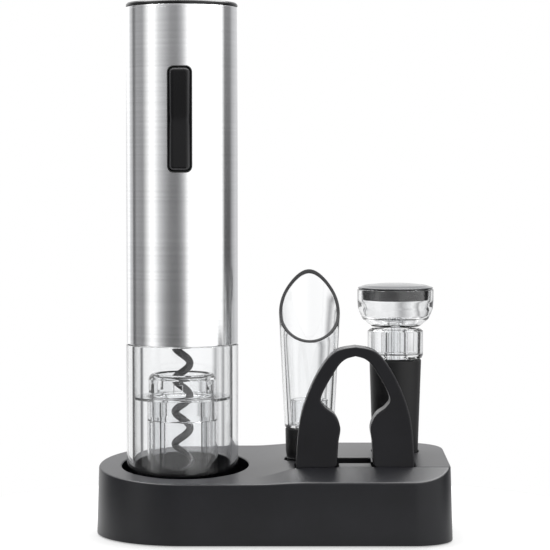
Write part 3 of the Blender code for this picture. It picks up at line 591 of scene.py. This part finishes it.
# matte finish with painted shade: the well's walls and floor get a darker, unreflecting copy of the shell's
# finish
paint_some(shell, WELL_MATTE_SHADE,
           lambda face: math.hypot(face.center.x - WELL_X, face.center.y) < WELL_R + WELL_MARGIN
           and face.center.z > WELL_FLOOR - WELL_MARGIN)


# ---------------------------------------------------------------- opener: tube, sleeve and guide

TUBE_R, TUBE_WALL, SLEEVE_R = 24.8, 0.6, 25.0
tube_low, tube_high = (v.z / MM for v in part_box("steel_tube"))
button_low, button_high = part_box("button_bezel")
BUTTON_Z = (button_low.z + button_high.z) / 2
BEZEL_HALF_X, BEZEL_HALF_Z = (button_high.x - button_low.x) / 2, (button_high.z - button_low.z) / 2
BEZEL_CORNER, BEZEL_RIM, BEZEL_EDGE = 2.7 * MM, 0.5 * MM, 0.28 * MM
WINDOW_GAP = 0.12 * MM

seam = tube_high - 1.1           # a fine groove just under the cap
tube = make("steel_tube_visual", turned([
    (TUBE_R - TUBE_WALL, tube_low, 0.15), (TUBE_R, tube_low, 0.2), (TUBE_R, seam - 0.12, 0),
    (TUBE_R - 0.07, seam - 0.05, 0), (TUBE_R - 0.07, seam + 0.05, 0), (TUBE_R, seam + 0.12, 0),
    (TUBE_R, tube_high, 0.2), (TUBE_R - TUBE_WALL, tube_high, 0.15)], 192), (*OPENER, 0))
window = rounded_rect(BEZEL_HALF_X + WINDOW_GAP, BEZEL_HALF_Z + WINDOW_GAP, BEZEL_CORNER + WINDOW_GAP)
combine(tube, slab(window, -32 * MM, -10 * MM), (*OPENER, BUTTON_Z))
place(tube, "opener", "steel", "steel_tube")

sleeve_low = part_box("clear_sleeve")[0].z / MM
sleeve = make("clear_sleeve_visual", turned([
    (21.6, sleeve_low, 0.4), (SLEEVE_R, sleeve_low, 0.5), (SLEEVE_R, 85.0, 0.25), (23.9, 85.0, 0.15),
    (23.9, 92.0, 0.4), (21.6, 92.0, 0.4)], 160), (*OPENER, 0))
place(sleeve, "opener", "clear", "clear_sleeve")

guide = make("cork_guide_visual", turned([
    (14.9, 10.0, 0.3), (15.8, 10.0, 0.3), (15.8, 60.6, 0.5), (21.3, 60.6, 0.4), (21.3, 61.8, 0.4),
    (15.2, 61.8, 0.5), (15.2, 69.4, 1.0), (14.6, 70.9, 1.0), (13.4, 71.8, 0.6), (12.2, 71.8, 0.3),
    (12.2, 70.4, 0.2), (13.4, 70.4, 0.2), (13.4, 51.2, 0.3), (14.9, 51.2, 0.2)], 128), (*OPENER, 0))


def radial_block(radii, heights, half_width, angle):
    """An upright block that points away from the Z axis, sizes in millimetres and its angle in degrees."""
    (near, far), (low, high) = radii, heights
    corners = [(near, low), (far, low), (far, high), (near, high)]
    block = slab([(r * MM, z * MM) for r, z in corners], -half_width * MM, half_width * MM)
    turn = Matrix.Rotation(math.radians(angle), 3, "Z")
    bmesh.ops.rotate(block, verts=block.verts, cent=(0, 0, 0), matrix=turn)
    return block


for fin_angle in (55, 125, 235, 305):
    combine(guide, radial_block((15.3, 21.1), (10.5, 61.0), 0.6, fin_angle), (*OPENER, 0), "UNION")
for notch_angle in (25, 85, 145, 205, 265, 325):
    combine(guide, radial_block((12.6, 16.0), (63.6, 67.6), 1.9, notch_angle), (*OPENER, 0))
place(guide, "opener", "clear", "cork_guide")


# ---------------------------------------------------------------- opener: cork screw

WORM_R, WIRE_R, WORM_PITCH = 3.3, 1.7, 14.5
WORM_TOP, WORM_TIP, WORM_TAPER = 86.0, 28.7, 13.0
WORM_RIGHT_Z = 76.2                          # a height at which the wire is on the +X side
WORM_INTO_HUB, HUB_R, HUB_LOW, HUB_HIGH = 0.5, 6.0, 85.6, 90.0
WIRE_SIDES, RINGS_PER_TURN = 18, 40


def worm():
    """A right-handed wire helix that thins to a point, in millimetres."""
    rings = []
    length = WORM_TOP + WORM_INTO_HUB - WORM_TIP
    count = round(length / WORM_PITCH * RINGS_PER_TURN)
    slope = WORM_PITCH / math.tau / WORM_R
    for i in range(count + 1):
        z = WORM_TIP + length * i / count
        angle = math.tau * (z - WORM_RIGHT_Z) / WORM_PITCH
        wire = WIRE_R * max(min((z - WORM_TIP) / WORM_TAPER, 1.0) ** 0.6, 0.08)
        outward = Vector((math.cos(angle), math.sin(angle), 0))
        along = Vector((-math.sin(angle), math.cos(angle), slope)).normalized()
        across = along.cross(outward)
        middle = outward * (WORM_R + WIRE_R - wire) + Vector((0, 0, z))
        turns = [math.tau * k / WIRE_SIDES for k in range(WIRE_SIDES)]
        rings.append([(middle + outward * wire * math.cos(a) + across * wire * math.sin(a)) * MM
                      for a in turns])
    return loft(rings)


screw = make("worm_screw_visual", worm(), (*OPENER, 0))
hub = turned([(0, HUB_LOW, 0), (HUB_R, HUB_LOW, 0.5), (HUB_R, HUB_HIGH, 0.5), (0, HUB_HIGH, 0)], 64)
combine(screw, hub, (*OPENER, 0), "UNION")
place(screw, "worm_drive", "worm", "worm_screw")


# ---------------------------------------------------------------- opener: button and cap

def bezel():
    """A rounded frame along Y, proud of the tube, with soft front edges."""
    outer = rounded_rect(BEZEL_HALF_X, BEZEL_HALF_Z, BEZEL_CORNER, 12)
    inner = offset(outer, -BEZEL_RIM)
    front, back, edge = button_low.y - OPENER[1], button_high.y - OPENER[1], BEZEL_EDGE
    rings = [[(x, back, z) for x, z in outer]]
    for side, down in edge_turns():
        rings.append([(x, front + edge * down, z) for x, z in offset(outer, -edge * side)])
    for side, down in reversed(edge_turns()):
        rings.append([(x, front + edge * down, z) for x, z in offset(inner, edge * side)])
    rings.append([(x, back, z) for x, z in inner])
    return loft(rings, closed=True)


place(make("button_bezel_visual", bezel(), (*OPENER, BUTTON_Z)), "opener", "bezel", "button_bezel")

rocker_low, rocker_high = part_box("rocker_button")
ROCKER_HALF_X = (rocker_high.x - rocker_low.x) / 2
ROCKER_HALF_Z = (rocker_high.z - rocker_low.z) / 2
ROCKER_CORNER, ROCKER_EDGE = 2.2 * MM, 1.4 * MM
DIP_DEPTH, CREASE_ROUND = 0.7 * MM, 0.05         # the face falls from both ends to a soft crease
WAIST_DEPTH, WAIST_REACH = 0.18 * MM, 1.8 * MM   # the sides draw in a little at the crease
END_FLATTEN = 0.6                                # how much flatter the rounding is at the two ends


def rocker():
    """Rows from the lower end to the upper end; each row runs across the front and back round the rear."""
    depth = rocker_high.y - rocker_low.y
    ends = [ROCKER_EDGE * (1 - math.cos(math.pi / 2 * k / 9)) for k in range(10)]
    ends += [ROCKER_EDGE + (ROCKER_CORNER - ROCKER_EDGE) * k / 4 for k in range(1, 5)]
    middle = run((0, -ROCKER_HALF_Z + ROCKER_CORNER), (0, ROCKER_HALF_Z - ROCKER_CORNER), 60)
    heights = [-ROCKER_HALF_Z + e for e in ends] + [z for _, z in middle]
    heights += [ROCKER_HALF_Z - e for e in reversed(ends)]
    rows = []
    for z in heights:
        to_end = ROCKER_HALF_Z - abs(z)
        corner = max(ROCKER_CORNER - to_end, 0)
        half_x = ROCKER_HALF_X - ROCKER_CORNER + math.sqrt(max(ROCKER_CORNER ** 2 - corner ** 2, 0))
        into = max(ROCKER_EDGE - to_end, 0)
        drop = ROCKER_EDGE - math.sqrt(max(ROCKER_EDGE ** 2 - into ** 2, 0))
        face = drop + DIP_DEPTH * max(1 - math.hypot(z / ROCKER_HALF_Z, CREASE_ROUND), 0)
        half_x -= WAIST_DEPTH * math.exp(-(z / WAIST_REACH) ** 2)
        edge = min(ROCKER_EDGE, half_x)
        fall = edge * (1 - drop / ROCKER_EDGE * END_FLATTEN)
        row = [(-half_x, depth)]
        row += [(-half_x + edge * side, face + fall * down) for side, down in edge_turns()]
        row += [(x, face) for x, _ in run((-half_x + edge, 0), (half_x - edge, 0), 8)]
        row += [(half_x - edge * side, face + fall * down) for side, down in reversed(edge_turns())]
        row += [(half_x, depth)]
        rows.append([(x, y, z) for x, y in row])
    return loft(rows)


button = make("rocker_button_visual", rocker(), (OPENER[0], rocker_low.y, BUTTON_Z))
place(button, "rocker", "button", "rocker_button")
# painted highlight: the rim faces turned partly forwards get a lighter finish than the button's face
paint_some(button, BUTTON_RIM_HIGHLIGHT, lambda face: -0.95 < face.normal.y < -0.1)

lip = tube_high + 0.3
cap_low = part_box("battery_cap")[0].z / MM
cap = make("battery_cap_visual", turned([
    (0, cap_low, 0), (21.8, cap_low, 0.4), (21.8, 229.2, 0.2), (23.8, 229.2, 0.3), (23.8, lip, 0.1),
    (TUBE_R, lip, 0.15), (TUBE_R, lip + 0.9, 0.6), (24.2, lip + 1.6, 0.3), (23.6, lip + 1.7, 0.3),
    (21.4, lip + 1.7, 0.25), (21.4, lip + 0.9, 0.1), (0, lip + 0.9, 0)], 128), (*OPENER, 0))
place(cap, "battery_lid", "bezel", "battery_cap")
seat = lip + 1.2
disc = make("cap_disc_visual", turned([
    (0, seat, 0), (21.0, seat, 0.1), (21.0, seat + 0.5, 0.25), (14.0, seat + 0.9, 4.0),
    (7.0, seat + 1.13, 3.0), (0, seat + 1.2, 0)], 128), (*OPENER, 0))
place(disc, "battery_lid", "steel", "cap_disc")
disc.data.materials[0] = SPUN_STEEL


# ---------------------------------------------------------------- foil cutter

CUTTER_LEG, NECK_R, ARCH_EDGE = 12.5, 15.0, 0.7
WHEEL_R, WHEEL_THICK, WHEEL_BEVEL, AXLE_R = 3.6, 0.8, 0.8, 0.9
AXLE_GAP, SIDE_GAP, RIM_GAP = 0.3, 0.35, 0.4     # the wheel's play on its pin and in its slot
AXLE_FROM, AXLE_TO = -4.0, 5.5
WHEEL_REACH, WHEEL_ANGLES = 17.0, (11, 42)       # where the wheels stand around the bottle's neck
frame_low, frame_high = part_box("cutter_frame")
FEET_Z = frame_low.z + CUTTER_LEG * MM


def spline(points, steps=8):
    """A Catmull-Rom curve through the points; the last one is left for the next stretch."""
    curve = []
    padded = [points[0]] + points + [points[-1]]
    for a, b, c, d in zip(padded, padded[1:], padded[2:], padded[3:]):
        for i in range(steps):
            t = i / steps
            curve.append(tuple(0.5 * (2 * q + (r - p) * t + (2 * p - 5 * q + 4 * r - s) * t * t
                                      + (3 * q - p - 3 * r + s) * t ** 3)
                               for p, q, r, s in zip(a, b, c, d)))
    return curve


def cutter_outline():
    """The arch seen from the front, clockwise, about the middle of its feet at the platform."""
    outer = [(0, 52.6), (8.6, 50.5), (15.5, 42.4), (21.1, 30.7), (24.3, 19.5), (25.7, 5.4), (25.9, 0)]
    inner = [(8.0, 0), (7.4, 10.3), (6.6, 17.1), (9.1, 22.7), (13.5, 26.3), (14.9, 30.7),
             (8.6, 42.4), (4.6, 46.8), (0, 48.3)]
    mouth = arc(0, -CUTTER_LEG, NECK_R, 0, 56, 19)
    tip = arc(22.4, 3.5 - CUTTER_LEG, 3.5, 0, -90, 9)
    half = spline(outer) + [outer[-1]] + tip + mouth + spline(inner)[1:]
    left = [(-x, z) for x, z in reversed(half[1:])]
    return [(x * MM, z * MM) for x, z in half + [inner[-1]] + left]


def bar(radius, front, back):
    """A plain round bar along Y, in millimetres, for cutting with."""
    return slab(circle(0, 0, radius * MM, 40), front * MM, back * MM)


outline = list(reversed(cutter_outline()))
half_depth = (frame_high.y - frame_low.y) / 2
arch = make("cutter_frame_visual", soft_slab(outline, -half_depth, half_depth, ARCH_EDGE * MM),
            (*CUTTER, FEET_Z))
spots = [(CUTTER[0] + side * WHEEL_REACH * math.cos(a) * MM, CUTTER[1],
          FEET_Z + (WHEEL_REACH * math.sin(a) - CUTTER_LEG) * MM)
         for side in (-1, 1) for a in map(math.radians, WHEEL_ANGLES)]
slot_half = WHEEL_THICK / 2 + SIDE_GAP
for at in spots:
    combine(arch, bar(WHEEL_R + RIM_GAP, -slot_half, slot_half), at)
    combine(arch, bar(AXLE_R + AXLE_GAP, AXLE_FROM - AXLE_GAP, 9), at)
place(arch, "foil_cutter", "cutter", "cutter_frame")
bore, half_thick = AXLE_R + AXLE_GAP, WHEEL_THICK / 2
for i, at in enumerate(spots, 1):
    axle = make(f"wheel_axle_visual_{i}", along_y(turned([
        (0, AXLE_FROM, 0), (AXLE_R, AXLE_FROM, 0.15), (AXLE_R, AXLE_TO, 0.15), (0, AXLE_TO, 0)], 24)), at)
    place(axle, "foil_cutter", "screw", f"wheel_axle_{i}")
    wheel = make(f"cutting_wheel_visual_{i}", along_y(turned([
        (bore, -half_thick, 0.08), (WHEEL_R - WHEEL_BEVEL, -half_thick, 0.1), (WHEEL_R, -0.03, 0),
        (WHEEL_R, 0.03, 0), (WHEEL_R - WHEEL_BEVEL, half_thick, 0.1), (bore, half_thick, 0.08)], 64)), at)
    place(wheel, f"wheel_{i}", "screw", f"cutting_wheel_{i}")


# ---------------------------------------------------------------- pourer

POURER_FOOT, POURER_HEAD = 47.3, 118.0       # the heights between which the spout flares
SPOUT_LOW_R, SPOUT_HIGH_R, SPOUT_WALL, SPOUT_FLOOR = 11.15, 14.6, 2.0, 1.4
STEM_R, STEM_BORE, STEM_FOOT = 6.4, 5.0, 27.0
MOUTH_Z, FRONT_SLOPE, BACK_SLOPE = 98.4, 0.935, 1.33
MOUTH_BEND = 2.5                             # how gently the mouth's two slopes meet
SPOUT_RIM, RIM_EDGE, FOOT_ROUND = 1.5, 0.35, 0.8   # the wall at the mouth, and two roundings
SPOUT_TAPER = 1.5                            # how far above its foot the flaring wall starts
TIP_SHARE, TIP_POWER = 0.14, 5               # how much of the back's rise is in its pointed tip
EDGE_FACES_UP, EDGE_ABOVE = 0.45, 75 * MM      # which faces of the mouth's cut edge get painted shade


def spout_radius(z, inset):
    """The spout's radius at a height, inset from its outside."""
    share = (z - POURER_FOOT) / (POURER_HEAD - POURER_FOOT)
    return SPOUT_LOW_R + (SPOUT_HIGH_R - SPOUT_LOW_R) * share - inset


def mouth_height(angle, inset):
    """Where the slanted mouth cuts the spout's wall, for a direction seen from above."""
    z = MOUTH_Z
    for _ in range(30):
        y = spout_radius(z, inset) * math.sin(angle)
        bend = 0.5 + 0.5 * math.tanh(y / MOUTH_BEND)
        tip = 1 - TIP_SHARE + TIP_SHARE * max(math.sin(angle), 0) ** TIP_POWER
        z = MOUTH_Z + y * (FRONT_SLOPE + (BACK_SLOPE * tip - FRONT_SLOPE) * bend)
    return z


def spout():
    """The flared spout: rings from the stem up the outside, over the slanted rim and down the inside."""
    steps = 144
    angles = [math.tau * i / steps for i in range(steps)]
    wall_foot = POURER_FOOT + SPOUT_TAPER

    def flat(radius, z):
        """A level ring."""
        return [(radius * math.cos(a) * MM, radius * math.sin(a) * MM, z * MM) for a in angles]

    def wall(inset, share, below=0.0):
        """A ring at a share of the way from the wall's foot to just below the mouth."""
        ring = []
        for a in angles:
            head = mouth_height(a, inset) - below
            z = wall_foot + (head - wall_foot) * share
            radius = spout_radius(z, inset)
            ring.append((radius * math.cos(a) * MM, radius * math.sin(a) * MM, z * MM))
        return ring

    rings = [flat(STEM_BORE, STEM_FOOT), flat(STEM_R - 0.3, STEM_FOOT), flat(STEM_R, STEM_FOOT + 0.4),
             flat(STEM_R, POURER_FOOT - 0.3), flat(STEM_R + 0.3, POURER_FOOT)]
    for side, down in reversed(edge_turns()):
        rings.append(flat(SPOUT_LOW_R - FOOT_ROUND * side, POURER_FOOT + FOOT_ROUND * down))
    shares = [i / 14 for i in range(15)]
    rings += [wall(0, share, RIM_EDGE) for share in shares]
    rings += [wall(0.1, 1, 0.1), wall(RIM_EDGE, 1), wall(SPOUT_RIM / 2, 1),
              wall(SPOUT_RIM - RIM_EDGE, 1), wall(SPOUT_RIM - 0.1, 1, 0.1)]
    rings += [wall(SPOUT_WALL + (SPOUT_RIM - SPOUT_WALL) * share, share, RIM_EDGE)
              for share in reversed(shares)]
    floor = POURER_FOOT + SPOUT_FLOOR
    inner = spout_radius(floor, SPOUT_WALL)
    rings += [flat(inner, floor + 0.06), flat(inner - 0.06, floor), flat(STEM_BORE + 0.3, floor),
              flat(STEM_BORE, floor - 0.3)]
    return loft(rings, closed=True)


mouth = make("pourer_tube_visual", spout(), (*POURER, 0))
place(mouth, "pourer", "clear", "pourer_tube")
# painted shade: the mouth's upward cut edge gets a dark opaque finish in place of clear plastic
paint_some(mouth, CUT_EDGE_SHADE,
           lambda face: face.normal.z > EDGE_FACES_UP and face.center.z > EDGE_ABOVE)
insert = make("pourer_insert_visual", turned([
    (7.6, 49.2, 0.15), (8.4, 49.2, 0.2), (8.4, 59.8, 0.3), (7.6, 59.8, 0.2)], 96), (*POURER, 0))
place(insert, "pourer", "clear", "pourer_insert")
RIB_COUNT, RIB_FROM, RIB_PITCH = 5, 25.5, 1.9
ribs = []
for i in range(RIB_COUNT):
    z = RIB_FROM + RIB_PITCH * i
    ribs += [(10.15, z, 0.2), (10.45, z + 0.5, 0.3), (10.2, z + 1.1, 0.3)]
seal = make("pourer_seal_visual", turned([
    (6.8, 22.4, 0.3), (9.6, 22.4, 0.8), *ribs, (10.6, 37.0, 2), (10.8, 46.9, 0.5), (6.8, 46.9, 0.2)], 96),
    (*POURER, 0))
place(seal, "pourer", "rubber", "pourer_seal")


# ---------------------------------------------------------------- vacuum stopper

plug = make("stopper_seal_visual", turned([
    (3.2, 22.4, 0.3), (9.6, 22.4, 0.7), (10.0, 24.2, 0.7), (11.75, 76.2, 0.7), (11.2, 76.9, 0.3),
    (3.2, 76.9, 0.3)], 128), (*STOPPER, 0))
place(plug, "stopper", "rubber", "stopper_seal")


FLUTES, FLUTE_DEPTH = 12, 0.12 * MM
FLUTED_FROM, FLUTED_OVER = 11.0 * MM, 1.4 * MM     # radii over which the flutes come in


def fluted(profile):
    """A turned neck whose outside has shallow vertical flutes."""
    bm = turned(profile, 192)
    for vert in bm.verts:
        radius = math.hypot(vert.co.x, vert.co.y)
        share = min(max((radius - FLUTED_FROM) / FLUTED_OVER, 0.0), 1.0)
        angle = math.atan2(vert.co.y, vert.co.x)
        sunk = 1 - share * FLUTE_DEPTH * (0.5 - 0.5 * math.cos(FLUTES * angle)) / max(radius, MM)
        vert.co.x *= sunk
        vert.co.y *= sunk
    return bm


neck = make("stopper_neck_visual", fluted([
    (4.2, 77.3, 0.3), (12.0, 77.3, 0.3), (12.55, 78.6, 0.5), (12.55, 89.6, 0.6), (11.6, 90.5, 0.3),
    (10.9, 90.5, 0.2), (10.7, 79.0, 0.4), (6.2, 79.0, 0.3), (6.2, 90.5, 0.2), (4.2, 90.5, 0.2)]),
    (*STOPPER, 0))
place(neck, "stopper", "clear", "stopper_neck")
bowl = make("stopper_bowl_visual", turned([
    (2.4, 91.7, 0.2), (11.0, 91.7, 1.5), (15.0, 95.0, 3.0), (16.9, 99.5, 4.0), (17.25, 103.0, 4.0),
    (17.25, 108.6, 0.4), (15.8, 108.6, 0.3), (15.6, 103.2, 4.0), (13.9, 96.6, 3.0), (10.3, 93.3, 1.5),
    (2.4, 93.3, 0.2)], 144, 7), (*STOPPER, 0))
place(bowl, "pump_knob", "clear", "stopper_bowl")
CAP_RIM_Z = 108.9
lid = make("stopper_cap_visual", turned([
    (0, 103.6, 0), (15.0, 103.6, 0.5), (15.3, CAP_RIM_Z, 0.2), (17.0, CAP_RIM_Z, 0.1), (17.0, 109.4, 0.3),
    (14.0, 110.4, 4.0), (8.0, 111.0, 6.0), (0, 111.2, 0)], 144, 6), (*STOPPER, 0))
place(lid, "pump_knob", "cap", "stopper_cap")
# painted shade: the cap below its rim gets a darker copy of the dome's finish
paint_some(lid, CAP_SIDE_SHADE, lambda face: face.center.z < CAP_RIM_Z * MM)
rod = make("pump_rod_visual", turned([
    (0, 60, 0), (1.9, 60, 0.4), (1.9, 93.6, 0.2), (3.6, 93.6, 0.2), (3.6, 94.6, 0.3), (0, 94.6, 0)], 48),
    (*STOPPER, 0))
place(rod, "pump_knob", "clear", "pump_rod")


# ---------------------------------------------------------------- CAD nodes that stay

for node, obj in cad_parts.items():
    if obj.hide_render:
        continue
    for i, mat in enumerate(obj.data.materials):
        slot = mat.name.split(".")[0]
        obj.data.materials[i] = FINISHES[slot]


# ---------------------------------------------------------------- studio

# Brightness of the room by direction, in degrees from the viewer's side towards +X: above the
# horizon, at it, below it, and what is seen through the clear pieces
UPPER_BANDS = [
    (-180, 1.3), (-138, 1.3), (-131, 0.7), (-122, 0.6), (-119, 0.2), (-113, 0.2), (-107, 0.46),
    (-86, 0.44), (-74, 1.2), (-68, 1.5), (-58, 1.5), (-47, 0.90), (-34, 0.71), (-20, 0.45),
    (-9, 0.43), (1, 0.65), (13, 1.4), (94, 1.4), (101, 0.36), (121, 0.38), (130, 0.65),
    (160, 0.8), (168, 1.1), (180, 1.3)]
MIDDLE_BANDS = [
    (-180, 0.6), (-165, 0.6), (-150, 1.1), (-138, 1.3), (-131, 0.7), (-122, 0.6), (-119, 0.15),
    (-113, 0.15), (-107, 0.42), (-86, 0.30), (-72, 1.0), (-66, 1.40), (-60, 1.40), (-47, 0.68),
    (-34, 0.36), (-22, 0.17), (-9, 0.14), (-3, 0.22), (7, 0.62), (15, 1.35), (94, 1.35),
    (100, 0.07), (119, 0.07), (128, 0.40), (146, 0.7), (180, 0.6)]
LOWER_BANDS = [
    (-180, 1.2), (-138, 1.2), (-131, 0.5), (-122, 0.5), (-119, 0.04), (-112, 0.04), (-108, 0.18),
    (-84, 0.20), (-68, 1.2), (-54, 1.2), (-43, 0.40), (-30, 0.07), (7, 0.05), (17, 1.35),
    (93, 1.35), (100, 0.02), (126, 0.02), (132, 0.6), (160, 0.7), (180, 1.2)]
CLEAR_BANDS = [
    (-180, 1.05), (-167, 1.0), (-166, 0.2), (-164.4, 0.2), (-163.4, 0.95), (-140, 0.95),
    (-135, 0.06), (-104, 0.06), (-98, 0.95), (0, 0.9), (98, 0.95), (104, 0.06), (140, 0.06),
    (145, 0.95), (168.6, 0.95), (169.5, 0.3), (171, 0.3), (172, 1.0), (174, 1.0), (174.9, 0.4),
    (176, 0.4), (176.8, 1.0), (180, 1.05)]
COOL_TINT, COOL_BELOW = 1.02, 0.9       # the darker bands are a little bluer
OVERHEAD = (1.5, 1.5, 1.5, 1)


def studio_world():
    """A white room for the camera; for light and reflections, soft bands of card around the object."""
    world = bpy.data.worlds.new("studio")
    bpy.context.scene.world = world
    world.use_nodes = True
    tree = world.node_tree
    tree.nodes.clear()

    def node(kind, **settings):
        made = tree.nodes.new(kind)
        for key, value in settings.items():
            setattr(made, key, value)
        return made

    def feed(socket, value):
        """Links a node's output to a socket, or sets the socket to a number or a colour."""
        if isinstance(value, bpy.types.NodeSocket):
            tree.links.new(value, socket)
        else:
            socket.default_value = value

    def math_node(operation, first, second):
        made = node("ShaderNodeMath", operation=operation)
        feed(made.inputs[0], first)
        feed(made.inputs[1], second)
        return made.outputs[0]

    def ramp(stops):
        """A band table as a colour ramp round the room."""
        made = node("ShaderNodeValToRGB")
        for i, (azimuth, level) in enumerate(stops):
            place_at = (azimuth + 180) / 360
            element = made.color_ramp.elements[i] if i < 2 else made.color_ramp.elements.new(place_at)
            element.position = place_at
            tint = COOL_TINT if level < COOL_BELOW else 1.0
            element.color = (level, level, level * tint, 1)
        tree.links.new(turn, made.inputs[0])
        return made.outputs[0]

    def mixed(factor, first, second):
        made = node("ShaderNodeMix", data_type="RGBA")
        for name, value in (("Factor", factor), ("A", first), ("B", second)):
            feed(made.inputs[name], value)
        return made.outputs["Result"]

    def step(value, start, end):
        made = node("ShaderNodeMapRange", interpolation_type="SMOOTHSTEP")
        made.inputs["From Min"].default_value = start
        made.inputs["From Max"].default_value = end
        tree.links.new(value, made.inputs["Value"])
        return made.outputs["Result"]

    direction = node("ShaderNodeTexCoord").outputs["Generated"]
    split = node("ShaderNodeSeparateXYZ")
    tree.links.new(direction, split.inputs[0])
    x, y, z = split.outputs              # z is the sine of the height above the horizon
    azimuth = math_node("ARCTAN2", x, math_node("MULTIPLY", y, -1.0))
    turn = math_node("ADD", math_node("DIVIDE", azimuth, math.tau), 0.5)
    above = mixed(step(z, 0.08, 0.0), ramp(UPPER_BANDS), ramp(MIDDLE_BANDS))
    around = mixed(step(z, -0.07, -0.14), above, ramp(LOWER_BANDS))
    lit = mixed(step(z, 0.45, 0.8), around, OVERHEAD)
    rays = node("ShaderNodeLightPath").outputs
    through = mixed(rays["Is Transmission Ray"], lit, ramp(CLEAR_BANDS))
    seen = mixed(rays["Is Camera Ray"], through, (1, 1, 1, 1))
    background = node("ShaderNodeBackground")
    tree.links.new(seen, background.inputs["Color"])
    output = node("ShaderNodeOutputWorld")
    tree.links.new(background.outputs[0], output.inputs["Surface"])


studio_world()


def area_light(name, at, aim, size, power):
    """A soft rectangular light that faces a point."""
    light = bpy.data.lights.new(name, "AREA")
    light.shape = "RECTANGLE"
    light.size, light.size_y = size
    light.energy = power
    obj = bpy.data.objects.new(name, light)
    obj.location = at
    obj.rotation_euler = (Vector(aim) - Vector(at)).to_track_quat("-Z", "Y").to_euler()
    bpy.context.scene.collection.objects.link(obj)


TOP_LIGHT_BACK, TOP_LIGHT_Z = 0.33, 1.05
area_light("top_light", (0, TOP_LIGHT_BACK, TOP_LIGHT_Z), (0, TOP_LIGHT_BACK, 0), (1.4, 0.86), 43)

FLOOR_R, FLOOR_THICK, FLOOR_GLOW = 0.17, 0.0002, 0.45
floor_rings = [[(FLOOR_R * math.cos(math.tau * i / 96), FLOOR_R * math.sin(math.tau * i / 96), z)
                for i in range(96)] for z in (-FLOOR_THICK, 0.0)]
floor = make("floor", loft(floor_rings))
paper = moulded("floor_paper", (0.22, 0.22, 0.22), 0.9, 800, 0.01, 0.1, 0.01)
paper_shader = paper.node_tree.nodes["Principled BSDF"]
paper_shader.inputs["Emission Color"].default_value = (1, 1, 1, 1)
paper_shader.inputs["Emission Strength"].default_value = FLOOR_GLOW
floor.data.materials.append(paper)


# ---------------------------------------------------------------- camera

CAMERA_X = 0.00085
CAMERA_AT = Vector((CAMERA_X, -0.970, 0.1626))
CAMERA_AIM = Vector((CAMERA_X, 0.0, 0.1157))
camera_data = bpy.data.cameras.new("camera")
camera_data.sensor_width = 36.0
camera_data.lens = 142.2
camera = bpy.data.objects.new("camera", camera_data)
camera.location = CAMERA_AT
camera.rotation_euler = (CAMERA_AIM - CAMERA_AT).to_track_quat("-Z", "Y").to_euler()
bpy.context.scene.collection.objects.link(camera)
bpy.context.scene.camera = camera
bpy.context.scene.view_settings.view_transform = "Standard"
